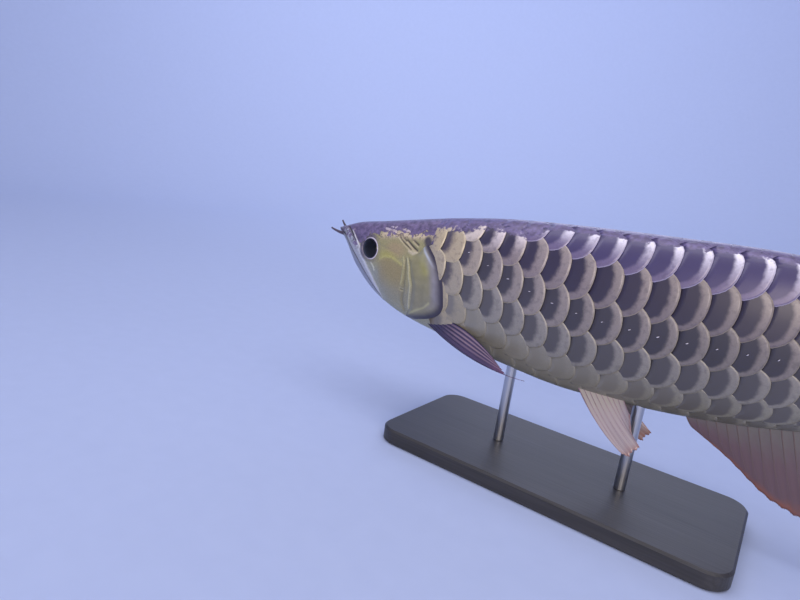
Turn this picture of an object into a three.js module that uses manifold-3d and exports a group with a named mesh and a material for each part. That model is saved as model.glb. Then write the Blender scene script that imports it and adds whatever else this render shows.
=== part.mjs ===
// An Asian arowana, life-size, swimming level on a plain museum stand.
// Millimetres, +Z up. The head points to -X and the left flank faces -Y.
// Places on the fish are shares of its length: x runs from the snout tip (0) to the root of the
// tail fin (1), y to the right flank, and z up from the level of the snout tip.
import * as THREE from "three";
import { mergeVertices } from "three/addons/utils/BufferGeometryUtils.js";
import Module from "manifold-3d";

const wasm = await Module();
wasm.setup();

const LENGTH = 500;
const SNOUT = new THREE.Vector3(-287.47, 0, 150);
const BEND_START = 0.62;
const TAIL_SWING = 14;
const GAP = 0.3;

const NAPE = 0.197;
const MIDDLE_CUT = 0.44;
const TAIL_CUT = 0.72;

// Each station of the body: x, top, bottom and half width.
const STATIONS = [
  [0, 0.0005, -0.0057, 0.009],
  [0.02, 0.009, -0.028, 0.019],
  [0.05, 0.0187, -0.067, 0.028],
  [0.1, 0.028, -0.104, 0.036],
  [0.16, 0.04, -0.1255, 0.042],
  [0.24, 0.055, -0.139, 0.0475],
  [0.34, 0.0685, -0.152, 0.05],
  [0.45, 0.076, -0.16, 0.05],
  [0.56, 0.081, -0.152, 0.047],
  [0.66, 0.084, -0.138, 0.042],
  [0.76, 0.078, -0.115, 0.035],
  [0.86, 0.06, -0.088, 0.026],
  [0.94, 0.041, -0.063, 0.018],
  [1, 0.035, -0.053, 0.012],
];
const WIDEST = 0.56;
const BELLY_POWER = 1.75;
const BACK_POWER = 2.6;
const HEAD_POWER = 3.2;

// Rows of scales from the back to the belly: how far round the flank each runs on the body and at
// the gill opening, as a share of the way from the middle of the back to the middle of the belly.
const ROWS = [
  { body: 0.17, shoulder: 0.016 },
  { body: 0.36, shoulder: 0.08 },
  { body: 0.552, shoulder: 0.215 },
  { body: 0.708, shoulder: 0.41 },
  { body: 0.85, shoulder: 0.6 },
];
const LATERAL_ROW = 3;
const SHOULDER = 0.25;
const SHOULDER_FADE = 0.11;
const COLUMNS = 24;
const COLUMN_STEP = 0.0352;
const COLUMN_SHRINK = 0.00047;
const FIRST_COLUMN = 0.243;
const ROW_SLANT = 0.285;
const COLUMN_STEADY = 8;
const SCALE_LIFT = 1.1;
const FULL_ROW = 20;
const SCALE_WANDER = 0.03;
const SEED = 5;
const PLAIN_FRONT = 0.165;

// Corners of a scale from its tip: share of a column back, share of a row down, and of the lift.
const SCALE_EDGE = {
  upper: [-0.03, -0.15, 0.8],
  tip: [0, 0.1, 1],
  low: [-0.05, 0.36, 1],
  lower: [-0.15, 0.57, 0.9],
  under: [-0.4, 0.76, 0.6],
};
const SCALE_CORNERS = { ...SCALE_EDGE, middle: [-0.55, 0.2, 0.5] };
const SCALE_REAR = ["upper", "tip", "low", "lower"];

// The gill cover seen from the side, the mouth from lip to jaw joint, and the eye.
const GILL = { front: 0.18, middle: -0.064, reach: 0.072, up: 0.072, down: 0.055, power: 2.3 };
const GILL_THICKNESS = 2.5;
const MOUTH = [
  [-0.012, 0.001],
  [0, -0.002],
  [0.022, -0.0075],
  [0.045, -0.029],
  [0.0633, -0.0462],
  [0.0875, -0.0718],
  [0.1033, -0.0876],
  [0.1175, -0.1015],
  [0.126, -0.13],
];
const EYE = { x: 0.0925, z: -0.0205, radius: 10.5, bulge: 0.5, sunk: 2.9 };
const EYELID = { radius: 9.9, thickness: 1.1 };
const NOSTRILS = [
  { x: 0.024, turn: 0.3, radius: 1.1 },
  { x: 0.044, turn: 0.27, radius: 1.4 },
];
const NOSTRIL_DEPTH = 0.3;

// The strips of lip along the mouth, the plate behind the eye, and the barbels' lines.
const LIP = { front: 0.022, rear: 0.106, lean: 0.004, narrow: 0.5, clear: 0.003, sunk: 1.5 };
const UPPER_LIP = { width: 0.019, rise: 0.7 };
const LOWER_LIP = { width: 0.006, rise: 0.4 };
const CHEEK = { front: 0.116, rear: 0.166, top: -0.032, floor: -0.088, lean: 0.012, arch: 0.006 };
const CHEEK_RISE = 0.6;
const BARBEL = { root: 1.5, tip: 0.55, sides: 8, steps: 8 };
const BARBEL_ROOT = { x: 0.012, turn: 0.62, sunk: 1.5 };
const BARBEL_LINES = {
  left: { bend: [-0.001, -0.014, -0.0085], tip: [-0.0155, -0.017, -0.0026] },
  right: { bend: [-0.005, 0.011, -0.003], tip: [-0.0185, 0.015, 0.0107] },
};

// Each fin: its rays, where its first and last rays leave the body, and its margin from the first
// ray to the last. A margin's columns are the share of the rays passed, x, z and, for a paired
// fin, y. Bow is how far the first and last rays sag between root and tip.
const FIN_RAY = 1.1;
const FIN_WEB = 0.6;
const FIN_ROOT = 2.4;
const FIN_SINK = 0.01;
const FIN_NOTCH = 0.02;
const PAIRED_SINK = 3;
const DORSAL = {
  rays: 18,
  root: [0.75, 0.905],
  margin: [
    [0, 0.768, 0.097],
    [0.15, 0.805, 0.13],
    [0.35, 0.852, 0.147],
    [0.6, 0.905, 0.14],
    [0.85, 0.948, 0.114],
    [1, 0.956, 0.082],
  ],
  bow: [0.004, 0.004],
};
const ANAL = {
  rays: 26,
  root: [0.615, 0.9],
  margin: [
    [0, 0.63, -0.158],
    [0.12, 0.672, -0.18],
    [0.3, 0.737, -0.219],
    [0.5, 0.802, -0.232],
    [0.72, 0.876, -0.221],
    [0.9, 0.942, -0.182],
    [1, 0.962, -0.13],
  ],
  bow: [-0.004, -0.004],
};
const CAUDAL = { rays: 14, root: 0.97, centre: [0.95, -0.009], reach: 0.22, height: 0.087 };
const CAUDAL_SPREAD = 1.3;
const CAUDAL_INSET = 0.006;
const PECTORAL = {
  rays: 7,
  root: [
    [0.212, -0.1215],
    [0.243, -0.1125],
  ],
  margin: [
    [0, 0.424, -0.149, 0.066],
    [0.15, 0.4, -0.1505, 0.064],
    [0.5, 0.386, -0.145, 0.061],
    [1, 0.372, -0.137, 0.058],
  ],
  bow: [-0.0155, 0.011],
};
const PELVIC = {
  rays: 6,
  root: [
    [0.474, -0.145],
    [0.538, -0.146],
  ],
  margin: [
    [0, 0.561, -0.211, 0.038],
    [0.2, 0.569, -0.2115, 0.038],
    [0.4, 0.572, -0.203, 0.037],
    [0.6, 0.5785, -0.1955, 0.035],
    [0.8, 0.565, -0.182, 0.031],
    [1, 0.556, -0.16, 0.025],
  ],
  bow: [-0.009, -0.002],
};

const BASE = { x: 0.465, length: 250, width: 116, height: 12, corner: 14, bevel: 1.5 };
const RODS = { front: 0.37, rear: 0.56 };
const ROD_RADIUS = 4;
const ROD_CLEARANCE = 0.2;

const COLOURS = {
  skin: 0x8c8577,
  head: 0xa39b72,
  gill: 0xb0a878,
  jaw: 0xb4b0c0,
  eye: 0x16161c,
  fin: 0x7a5258,
  pectoral: 0x45355a,
  pelvic: 0xb8a49c,
  barbel: 0x3a3040,
  base: 0x34363a,
  rod: 0xb8bcc0,
};

const lerp = THREE.MathUtils.lerp;

// A smooth curve through one column of a table, which never overshoots between its stations.
function curveThrough(table, column) {
  const xs = table.map((row) => row[0]);
  const ys = table.map((row) => row[column]);
  const last = xs.length - 1;
  const slopes = xs.slice(1).map((x, i) => (ys[i + 1] - ys[i]) / (x - xs[i]));
  const tangents = ys.map((_, i) => {
    if (i === 0 || i === last) return slopes[i === 0 ? 0 : last - 1];
    const [a, b] = [slopes[i - 1], slopes[i]];
    return a * b <= 0 ? 0 : (2 * a * b) / (a + b);
  });
  return (x) => {
    const i = THREE.MathUtils.clamp(xs.findLastIndex((station) => station <= x), 0, last - 1);
    const span = xs[i + 1] - xs[i];
    const t = THREE.MathUtils.clamp((x - xs[i]) / span, 0, 1);
    const [t2, t3] = [t * t, t * t * t];
    return (
      ys[i] * (2 * t3 - 3 * t2 + 1) +
      ys[i + 1] * (3 * t2 - 2 * t3) +
      span * (tangents[i] * (t3 - 2 * t2 + t) + tangents[i + 1] * (t3 - t2))
    );
  };
}

const topAt = curveThrough(STATIONS, 1);
const bottomAt = curveThrough(STATIONS, 2);
const halfWidthAt = curveThrough(STATIONS, 3);

// A place on the fish in the part's own frame, with the sideways swing of the tail.
function place(x, y, z) {
  const past = Math.max(0, x - BEND_START) / (1 - BEND_START);
  return new THREE.Vector3(
    SNOUT.x + x * LENGTH,
    SNOUT.y + y * LENGTH + TAIL_SWING * past * past,
    SNOUT.z + z * LENGTH,
  );
}

// The cross-section at x: a rounded back over a keeled belly.
function sectionAt(x) {
  const top = topAt(x);
  const bottom = bottomAt(x);
  const centre = lerp(bottom, top, WIDEST);
  const flatness = THREE.MathUtils.clamp((x - 0.1) / 0.15, 0, 1);
  return {
    half: halfWidthAt(x),
    centre,
    up: top - centre,
    down: centre - bottom,
    backPower: lerp(HEAD_POWER, BACK_POWER, flatness),
  };
}

// Points of the section from the middle of the back down to the middle of the belly.
const outlines = new Map();
function outlineAt(x) {
  if (outlines.has(x)) return outlines.get(x);
  const steps = 120;
  const { half, centre, up, down, backPower } = sectionAt(x);
  const points = [];
  for (let i = 0; i <= steps; i++) {
    const angle = (Math.PI * i) / steps;
    const [s, c] = [Math.sin(angle), Math.cos(angle)];
    const power = 2 / (c >= 0 ? backPower : BELLY_POWER);
    const height = Math.sign(c) * Math.abs(c) ** power * (c >= 0 ? up : down);
    const y = half * Math.max(s, 0) ** power;
    const before = points.at(-1);
    const run = before ? before.run + Math.hypot(y - before.y, centre + height - before.z) : 0;
    points.push({ y, z: centre + height, run });
  }
  outlines.set(x, points);
  return points;
}

// A point of the smooth skin: turn is 0 at the middle of the back and 1 at the middle of the belly,
// below zero on the left flank.
function bareSkin(x, turn) {
  const wrapped = turn > 1 ? turn - 2 : turn < -1 ? turn + 2 : turn;
  const points = outlineAt(x);
  const run = Math.abs(wrapped) * points.at(-1).run;
  const i = Math.max(1, points.findIndex((p) => p.run >= run - 1e-12));
  const [a, b] = [points[i - 1], points[i]];
  const t = (run - a.run) / (b.run - a.run);
  return place(x, Math.sign(wrapped) * lerp(a.y, b.y, t), lerp(a.z, b.z, t));
}

// The same point lifted square to the skin by so many millimetres.
function skin(x, turn, lift = 0) {
  const point = bareSkin(x, turn);
  if (lift === 0) return point;
  const [dx, dt] = [0.004, 0.02];
  const along = bareSkin(x + dx, turn).sub(bareSkin(Math.max(0, x - dx), turn));
  const round = bareSkin(x, turn + dt).sub(bareSkin(x, turn - dt));
  return point.addScaledVector(along.cross(round).normalize(), lift);
}

// A point of the flank seen square from the side, lifted outwards. Side is -1 on the left.
function flank(x, z, side, lift = 0) {
  const bare = (u, w) => {
    const { half, centre, up, down, backPower } = sectionAt(u);
    const above = w > centre;
    const share = Math.min(1, Math.abs(w - centre) / (above ? up : down));
    const power = above ? backPower : BELLY_POWER;
    return place(u, side * half * (1 - share ** power) ** (1 / power), w);
  };
  const point = bare(x, z);
  const step = 0.003;
  const along = bare(x + step, z).sub(bare(x - step, z));
  const upward = bare(x, z + step).sub(bare(x, z - step));
  const out = along.cross(upward).normalize();
  return point.addScaledVector(out, out.y * side > 0 ? lift : -lift);
}

// A closed solid from a geometry, whichever way its faces were listed.
function solid(geometry) {
  const bare = new THREE.BufferGeometry();
  bare.setAttribute("position", geometry.getAttribute("position"));
  bare.setIndex(geometry.getIndex());
  const merged = mergeVertices(bare, 1e-4);
  const vertProperties = Float32Array.from(merged.getAttribute("position").array);
  const faces = Array.from(merged.index.array);
  const make = (list) =>
    new wasm.Manifold(
      new wasm.Mesh({ numProp: 3, vertProperties, triVerts: Uint32Array.from(list) }),
    );
  const made = make(faces);
  return made.volume() < 0 ? make(faces.reverse()) : made;
}

// Collects points by name and faces between them, for one closed surface.
class Surface {
  points = [];
  faces = [];
  names = new Map();
  mirrored = false;

  point(name, make) {
    if (!this.names.has(name)) {
      this.names.set(name, this.points.length);
      this.points.push(make());
    }
    return this.names.get(name);
  }

  triangle(a, b, c) {
    if (a === b || b === c || c === a) return;
    this.faces.push(...(this.mirrored ? [a, c, b] : [a, b, c]));
  }

  // A run of corners joined to one middle point.
  fan(middle, corners) {
    for (let i = 0; i + 1 < corners.length; i++)
      this.triangle(middle, corners[i], corners[i + 1]);
  }

  // Two runs of corners of one length, joined by triangles.
  strip(run, other) {
    for (let i = 0; i + 1 < run.length; i++) {
      const [a, b, c, d] = [run[i], run[i + 1], other[i + 1], other[i]];
      this.triangle(a, b, d);
      this.triangle(b, c, d);
    }
  }

  solid() {
    const geometry = new THREE.BufferGeometry();
    const flat = this.points.flatMap((p) => p.toArray());
    geometry.setAttribute("position", new THREE.Float32BufferAttribute(flat, 3));
    geometry.setIndex(this.faces);
    return solid(geometry);
  }
}

// A closed tube through rings of equally many points.
function loft(rings) {
  const surface = new Surface();
  const indexed = rings.map((ring, i) =>
    ring.map((point, j) => surface.point(`${i},${j}`, () => point)),
  );
  const closed = indexed.map((ring) => [...ring, ring[0]]);
  closed.slice(1).forEach((ring, i) => surface.strip(closed[i], ring));
  for (const i of [0, rings.length - 1]) {
    const centre = rings[i].reduce((sum, p) => sum.add(p), new THREE.Vector3());
    const middle = surface.point(`end ${i}`, () => centre.divideScalar(rings[i].length));
    const closing = [...indexed[i], indexed[i][0]];
    surface.fan(middle, i === 0 ? closing.toReversed() : closing);
  }
  return surface.solid();
}

// A closed sheet between two grids of points that share their counts, split alike on both faces.
function sheet(across, down, front, back) {
  const surface = new Surface();
  const row = (face, make, i) =>
    Array.from({ length: down + 1 }, (_, j) =>
      surface.point(`${face},${i},${j}`, () => make(i, j)),
    );
  const count = Array.from({ length: across + 1 }, (_, i) => i);
  const fronts = count.map((i) => row("front", front, i));
  const backs = count.map((i) => row("back", back, i));
  for (let i = 0; i < across; i++) {
    surface.mirrored = false;
    surface.strip(fronts[i], fronts[i + 1]);
    surface.mirrored = true;
    surface.strip(backs[i], backs[i + 1]);
  }
  surface.mirrored = false;
  surface.strip(backs[0], fronts[0]);
  surface.strip(fronts[across], backs[across]);
  for (const j of [0, down]) {
    const edges = [fronts.map((line) => line[j]), backs.map((line) => line[j])];
    surface.strip(...(j === 0 ? edges : edges.toReversed()));
  }
  return surface.solid();
}

const largest = (made) =>
  made.decompose().reduce((best, body) => (body.volume() > best.volume() ? body : best));

// A box from one x share to another, wide enough to part the whole body.
function slice(from, to) {
  const length = (to - from) * LENGTH;
  const box = new THREE.BoxGeometry(length, LENGTH, LENGTH);
  box.translate(SNOUT.x + from * LENGTH + length / 2, 0, SNOUT.z);
  return solid(box);
}

// The smooth body between two x shares, grown by so many millimetres, for the head and its cutters.
function plainBody(from, to, stations, grow = 0) {
  const sides = 28;
  const rings = [from, ...stations.filter((x) => x > from && x < to), to];
  return loft(
    rings.map((x) =>
      Array.from({ length: sides }, (_, j) => skin(x, -1 + (2 * j) / sides, grow)),
    ),
  );
}

// A thin plate over the flank. Outline gives x and z for shares down and across the plate.
function plate(outline, side, under, over, across, down) {
  const at = (lift) => (i, j) => {
    const [x, z] = outline(i / across, j / down);
    return flank(x, z, side, lift);
  };
  return sheet(across, down, at(over), at(under));
}

// Scales: one closed surface in which each scale is a raised plate whose rear edge overlaps the
// next, with a smooth strip along the back and the belly.
function rowTurn(row, x) {
  const fade = Math.exp(-Math.max(0, x - SHOULDER) / SHOULDER_FADE);
  const turns = ROWS.map(({ body, shoulder }) => body * (shoulder / body) ** fade);
  const all = [0, ...turns, 1];
  const i = THREE.MathUtils.clamp(Math.floor(row), 0, ROWS.length);
  return lerp(all[i], all[i + 1], row - i);
}

function columnX(column) {
  const late = Math.max(0, column - COLUMN_STEADY);
  return FIRST_COLUMN + COLUMN_STEP * column - COLUMN_SHRINK * late * late;
}

// A repeatable draw between -1 and 1 for one scale.
function draw(column, row) {
  const wave = Math.sin(column * 127.1 + row * 311.7 + SEED) * 43758.5453;
  return 2 * (wave - Math.floor(wave)) - 1;
}

function scaledBody(grow = 0) {
  const surface = new Surface();
  const rows = ROWS.map((_, i) => i + 1);

  // The corner of scale (column, row) called part, on the skin or raised, on one side.
  const corner = (side, column, row, part, raised = false) =>
    surface.point(`${side},${column},${row},${part},${raised}`, () => {
      const [back, down, share] = SCALE_CORNERS[part];
      const wander = SCALE_WANDER * draw(column, row);
      const x = columnX(column + ROW_SLANT * (row - LATERAL_ROW) + back + wander);
      const turn = rowTurn(row + down, x);
      const tall = (rowTurn(row + 0.5, x) - rowTurn(row - 0.5, x)) * outlineAt(x).at(-1).run;
      const lift = SCALE_LIFT * Math.min(1, tall / FULL_ROW) * (1 + 0.15 * draw(row, column));
      return skin(x, side * turn, grow + (raised ? lift * share : 0));
    });
  const ridge = (turn, column) =>
    surface.point(`${turn},${column}`, () => skin(columnX(column), turn, grow));

  for (const side of [-1, 1]) {
    surface.mirrored = side > 0;
    for (let column = 0; column < COLUMNS; column++) {
      for (const row of rows) {
        const low = (k, r, part) => corner(side, k, r, part);
        const parts = Object.keys(SCALE_EDGE);
        const start = low(column, row - 1, "lower");
        const end = low(column - 1, row + 1, "upper");
        const edge = parts.map((part) => corner(side, column, row, part, true));
        const foot = parts.map((part) => low(column, row, part));
        const front = SCALE_REAR.toReversed().map((part) => low(column - 1, row, part));
        const loop = [start, ...edge, end, ...front, low(column, row - 1, "under"), start];
        surface.fan(corner(side, column, row, "middle", true), loop);
        surface.strip([start, ...foot, end], [start, ...edge, end]);
      }
      const [upper, last] = [ridge(0, column - 1), rows.at(-1)];
      const over = ["lower", "under"].map((part) => corner(side, column, 0, part));
      surface.fan(upper, [...over, corner(side, column - 1, 1, "upper")]);
      surface.triangle(upper, ridge(0, column), over[0]);
      surface.triangle(ridge(0, column), corner(side, column, 1, "upper"), over[0]);
      const keel = ridge(1, column - 1);
      const under = corner(side, column, last, "under");
      const beyond = corner(side, column - 1, last + 1, "upper");
      surface.fan(keel, [corner(side, column - 1, last, "lower"), beyond, under]);
      surface.triangle(keel, under, ridge(1, column));
      surface.triangle(ridge(1, column), under, corner(side, column, last, "lower"));
    }
  }

  // Both ends run on as a plain tube and close.
  const ends = [
    [-1, PLAIN_FRONT],
    [COLUMNS - 1, 1 + grow / LENGTH],
  ];
  ends.forEach(([column, x], end) => {
    const chain = (side) =>
      rows.flatMap((row) => SCALE_REAR.map((part) => corner(side, column, row, part)));
    const places = rows.flatMap((row) => SCALE_REAR.map((part) => row + SCALE_EDGE[part][1]));
    const turns = places.map((row) => rowTurn(row, x));
    const loop = [ridge(0, column), ...chain(-1), ridge(1, column), ...chain(1).toReversed()];
    const around = [0, ...turns.map((turn) => -turn), 1, ...turns.toReversed()];
    const ring = around.map((turn, i) =>
      surface.point(`ring ${end},${i}`, () => skin(x, turn, grow)),
    );
    const middle = surface.point(`middle ${end}`, () => {
      const { centre } = sectionAt(x);
      return place(x, 0, centre);
    });
    surface.mirrored = end === 1;
    surface.strip([...loop, loop[0]], [...ring, ring[0]]);
    surface.fan(middle, [...ring, ring[0]]);
  });
  return surface.solid();
}

// The gill cover: a plate with a rounded rear edge, let into the head and the shoulder.
function gillPlate(side, under, over, grow = 0) {
  const margin = grow / LENGTH;
  const outline = (a, b) => {
    const share = 2 * b - 1;
    const z = GILL.middle - share * ((share < 0 ? GILL.up : GILL.down) + margin);
    const rear = GILL.front + GILL.reach * Math.max(0, 1 - Math.abs(share) ** GILL.power) ** 0.43;
    const front = GILL.front - margin;
    return [lerp(front, Math.max(rear, GILL.front + 0.016) + margin, a), z];
  };
  return plate(outline, side, under, over, 5, 10);
}

// An eyeball, or the socket around it when grown.
function eyeball(side, grow = 0) {
  const seat = flank(EYE.x, EYE.z, side, -EYE.sunk);
  const out = flank(EYE.x, EYE.z, side, 0).sub(seat).normalize();
  const ball = new THREE.SphereGeometry(EYE.radius + grow, 16, 10);
  ball.scale(1, (EYE.radius * EYE.bulge + grow) / (EYE.radius + grow), 1);
  ball.applyQuaternion(new THREE.Quaternion().setFromUnitVectors(new THREE.Vector3(0, 1, 0), out));
  ball.translate(...seat);
  return solid(ball);
}

// The rim of skin round an eye.
function eyelid(side) {
  const seat = flank(EYE.x, EYE.z, side, -0.3);
  const out = flank(EYE.x, EYE.z, side, 1).sub(seat).normalize();
  const rim = new THREE.TorusGeometry(EYELID.radius, EYELID.thickness, 5, 20);
  rim.applyQuaternion(new THREE.Quaternion().setFromUnitVectors(new THREE.Vector3(0, 0, 1), out));
  rim.translate(...seat);
  return solid(rim);
}

// Strips of lip on both sides of the mouth line: the long upper jaw bone and the lower lip.
const mouthZ = curveThrough(MOUTH, 1);
function lip(side, { width, rise }, way) {
  const outline = (a, b) => {
    const x = lerp(LIP.front, LIP.rear, b);
    const across = LIP.clear + a * width * lerp(LIP.narrow, 1, b);
    return [x + LIP.lean * a * way, mouthZ(x) + way * across];
  };
  return plate(outline, side, -LIP.sunk, rise, 1, 6);
}

function cheekPlate(side) {
  const outline = (a, b) => [
    lerp(CHEEK.front + CHEEK.lean * b, CHEEK.rear, a),
    lerp(CHEEK.top - CHEEK.arch * Math.sin(Math.PI * a), CHEEK.floor, b),
  ];
  return plate(outline, side, -LIP.sunk, CHEEK_RISE, 3, 3);
}

function makeHead() {
  const stations = [0.005, 0.015, 0.03, 0.05, 0.075, 0.1, 0.13, 0.165];
  const end = NAPE - GAP / LENGTH;
  let head = plainBody(0, end, stations);
  for (const side of [-1, 1]) {
    head = head.add(lip(side, UPPER_LIP, 1)).add(lip(side, LOWER_LIP, -1));
    head = head.add(cheekPlate(side)).add(eyelid(side));
    head = head.subtract(eyeball(side, GAP));
    head = head.subtract(gillPlate(side, -GILL_THICKNESS - GAP, 8, GAP));
    for (const { x, turn, radius } of NOSTRILS) {
      const pit = new THREE.SphereGeometry(radius, 8, 6);
      pit.translate(...skin(x, side * turn, NOSTRIL_DEPTH));
      head = head.subtract(solid(pit));
    }
  }

  // The mouth parts the lower jaw from the rest.
  const line = MOUTH.map(([x, z]) => new THREE.Vector2(x * LENGTH, z * LENGTH));
  const lower = line.map((point, i) => {
    const [before, after] = [line[Math.max(0, i - 1)], line[Math.min(line.length - 1, i + 1)]];
    const along = after.clone().sub(before).normalize();
    return point.clone().add(new THREE.Vector2(along.y, -along.x).multiplyScalar(2 * GAP));
  });
  const slot = new THREE.ExtrudeGeometry(new THREE.Shape([...line, ...lower.reverse()]), {
    depth: 100,
    bevelEnabled: false,
  });
  slot.rotateX(Math.PI / 2).translate(SNOUT.x, 50, SNOUT.z);
  const bodies = head.subtract(solid(slot)).decompose();
  const bySize = bodies.sort((a, b) => b.volume() - a.volume());
  return { head: bySize[0], jaw: bySize[1] };
}

// A fin as one closed sheet: raised rays fan from the root to the margin with thin web between.
function fin(rays, centre, steps = 3) {
  const across = 2 * rays - 2;
  const at = (i, j) => centre(i / across, j / steps);
  const half = (i, j) => {
    const share = (j / steps) ** 0.6;
    const ray = i % 2 === 0;
    const edge = i === 0 || i === across;
    const full = lerp(FIN_ROOT, ray ? FIN_RAY : FIN_WEB, share) * (ray ? 1 : 0.85);
    return (edge ? 0.8 : 1) * full * 0.5;
  };
  const face = (sign) => (i, j) => {
    const rayward = at(Math.min(across, i + 1), j).sub(at(Math.max(0, i - 1), j));
    const outward = at(i, Math.min(steps, j + 1)).sub(at(i, Math.max(0, j - 1)));
    const normal = rayward.cross(outward).normalize();
    return at(i, j).addScaledVector(normal, sign * half(i, j));
  };
  return sheet(across, steps, face(1), face(-1));
}

const sag = (bow, a, b) => lerp(bow[0], bow[1], a) * 4 * b * (1 - b);

// How far out a point of the fin lies, drawn in a little at the margin between two rays.
const notched = (rays, a, b) => b * (1 - FIN_NOTCH * (Math.round(a * (2 * rays - 2)) % 2) * b);

// A fin on the middle line of the back or belly, rooted under the skin.
function medianFin({ rays, root, margin, bow }, skinAt, sink) {
  const [xAt, zAt] = [curveThrough(margin, 1), curveThrough(margin, 2)];
  return fin(rays, (a, b) => {
    const x = lerp(root[0], root[1], a);
    const z = skinAt(x) - sink;
    const share = notched(rays, a, b);
    return place(lerp(x, xAt(a), share), 0, lerp(z, zAt(a), share) + sag(bow, a, b));
  });
}

function caudalFin() {
  const { rays, root, centre, reach, height } = CAUDAL;
  return fin(
    rays,
    (a, b) => {
      const angle = lerp(CAUDAL_SPREAD, -CAUDAL_SPREAD, a);
      const z = lerp(topAt(1) - CAUDAL_INSET, bottomAt(1) + CAUDAL_INSET, a);
      const share = notched(rays, a, b);
      const far = [centre[0] + reach * Math.cos(angle), centre[1] + height * Math.sin(angle)];
      return place(lerp(root, far[0], share), 0, lerp(z, far[1], share));
    },
    4,
  );
}

// A paired fin, rooted under the skin of one flank.
function pairedFin({ rays, root, margin, bow }, side, steps) {
  const [xAt, zAt, yAt] = [1, 2, 3].map((column) => curveThrough(margin, column));
  return fin(
    rays,
    (a, b) => {
      const [x, z] = [0, 1].map((column) => lerp(root[0][column], root[1][column], a));
      const start = flank(x, z, side, -PAIRED_SINK);
      const end = place(xAt(a), side * yAt(a), zAt(a));
      const point = start.lerp(end, notched(rays, a, b));
      point.z += sag(bow, a, b) * LENGTH;
      return point;
    },
    steps,
  );
}

// A barbel: a tapered feeler that curves forward from the chin.
function barbel(side, { bend, tip }) {
  const start = skin(BARBEL_ROOT.x, side * BARBEL_ROOT.turn, -BARBEL_ROOT.sunk);
  const path = new THREE.QuadraticBezierCurve3(start, place(...bend), place(...tip));
  const rings = Array.from({ length: BARBEL.steps + 1 }, (_, i) => {
    const t = i / BARBEL.steps;
    const radius = lerp(BARBEL.root, BARBEL.tip, t);
    const along = path.getTangent(t);
    const across = new THREE.Vector3(0, 0, 1).cross(along).normalize();
    const up = along.clone().cross(across);
    return Array.from({ length: BARBEL.sides }, (_, j) => {
      const angle = (2 * Math.PI * j) / BARBEL.sides;
      return path
        .getPoint(t)
        .addScaledVector(across, radius * Math.cos(angle))
        .addScaledVector(up, radius * Math.sin(angle));
    });
  });
  return loft(rings);
}

// The stand: a flat base with rounded corners and two rods that reach the belly.
function standBase() {
  const { length, width, height, corner, bevel } = BASE;
  const [x, y] = [length / 2 - corner - bevel, width / 2 - corner - bevel];
  const shape = new THREE.Shape();
  for (const [cx, cy, start] of [
    [x, y, 0],
    [-x, y, 0.5],
    [-x, -y, 1],
    [x, -y, 1.5],
  ])
    shape.absarc(cx, cy, corner, start * Math.PI, (start + 0.5) * Math.PI, false);
  const base = new THREE.ExtrudeGeometry(shape, {
    depth: height - 2 * bevel,
    bevelThickness: bevel,
    bevelSize: bevel,
    bevelSegments: 1,
    curveSegments: 5,
  });
  base.translate(SNOUT.x + BASE.x * LENGTH, 0, bevel);
  return solid(base);
}

function standRod(x) {
  const foot = BASE.height + GAP;
  const reach = SNOUT.z + (bottomAt(x) + 0.03) * LENGTH;
  const rod = new THREE.CylinderGeometry(ROD_RADIUS, ROD_RADIUS, reach - foot, 24);
  rod.rotateX(Math.PI / 2).translate(SNOUT.x + x * LENGTH, 0, (reach + foot) / 2);
  return solid(rod);
}

const root = new THREE.Group();

function addPart(name, made, color, roughness = 0.45, metalness = 0) {
  const { vertProperties, triVerts } = largest(made).getMesh();
  const geometry = new THREE.BufferGeometry();
  geometry.setAttribute("position", new THREE.BufferAttribute(vertProperties, 3));
  geometry.setIndex(new THREE.BufferAttribute(triVerts, 1));
  const mesh = new THREE.Mesh(
    geometry,
    new THREE.MeshStandardMaterial({ color, roughness, metalness }),
  );
  mesh.name = name;
  root.add(mesh);
}

const SIDES = { left: -1, right: 1 };
const { head, jaw } = makeHead();
addPart("head", head, COLOURS.head);
addPart("lower_jaw", jaw, COLOURS.jaw);
const headCutter = plainBody(0, NAPE, [0.004, 0.012, 0.025, 0.04], GAP);

let trunk = scaledBody();
const trunkCutter = scaledBody(GAP);
for (const [name, side] of Object.entries(SIDES)) {
  const cover = gillPlate(side, -GILL_THICKNESS, 0.4);
  addPart(`gill_cover_${name}`, cover, COLOURS.gill, 0.35);
  addPart(`eye_${name}`, eyeball(side), COLOURS.eye, 0.08);
  const feeler = barbel(side, BARBEL_LINES[name]).subtract(headCutter);
  addPart(`barbel_${name}`, feeler, COLOURS.barbel);
  trunk = trunk.subtract(gillPlate(side, -GILL_THICKNESS - GAP, 8, GAP));
}

const LENGTHS = {
  trunk_front: [NAPE, MIDDLE_CUT],
  trunk_middle: [MIDDLE_CUT, TAIL_CUT],
  tail: [TAIL_CUT, 1.01],
};
for (const [name, [from, to]] of Object.entries(LENGTHS)) {
  const start = from === NAPE ? from : from + GAP / LENGTH;
  addPart(name, trunk.intersect(slice(start, to)), COLOURS.skin);
}

const fins = {
  dorsal_fin: medianFin(DORSAL, topAt, FIN_SINK),
  anal_fin: medianFin(ANAL, bottomAt, -FIN_SINK),
  caudal_fin: caudalFin(),
};
for (const [name, made] of Object.entries(fins))
  addPart(name, made.subtract(trunkCutter), COLOURS.fin);
for (const [name, side] of Object.entries(SIDES)) {
  const cover = gillPlate(side, -GILL_THICKNESS - GAP, 8, GAP);
  const pectoral = pairedFin(PECTORAL, side, 5).subtract(trunkCutter).subtract(cover);
  addPart(`pectoral_fin_${name}`, pectoral, COLOURS.pectoral);
  const pelvic = pairedFin(PELVIC, side, 4).subtract(trunkCutter);
  addPart(`pelvic_fin_${name}`, pelvic, COLOURS.pelvic);
}

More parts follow.
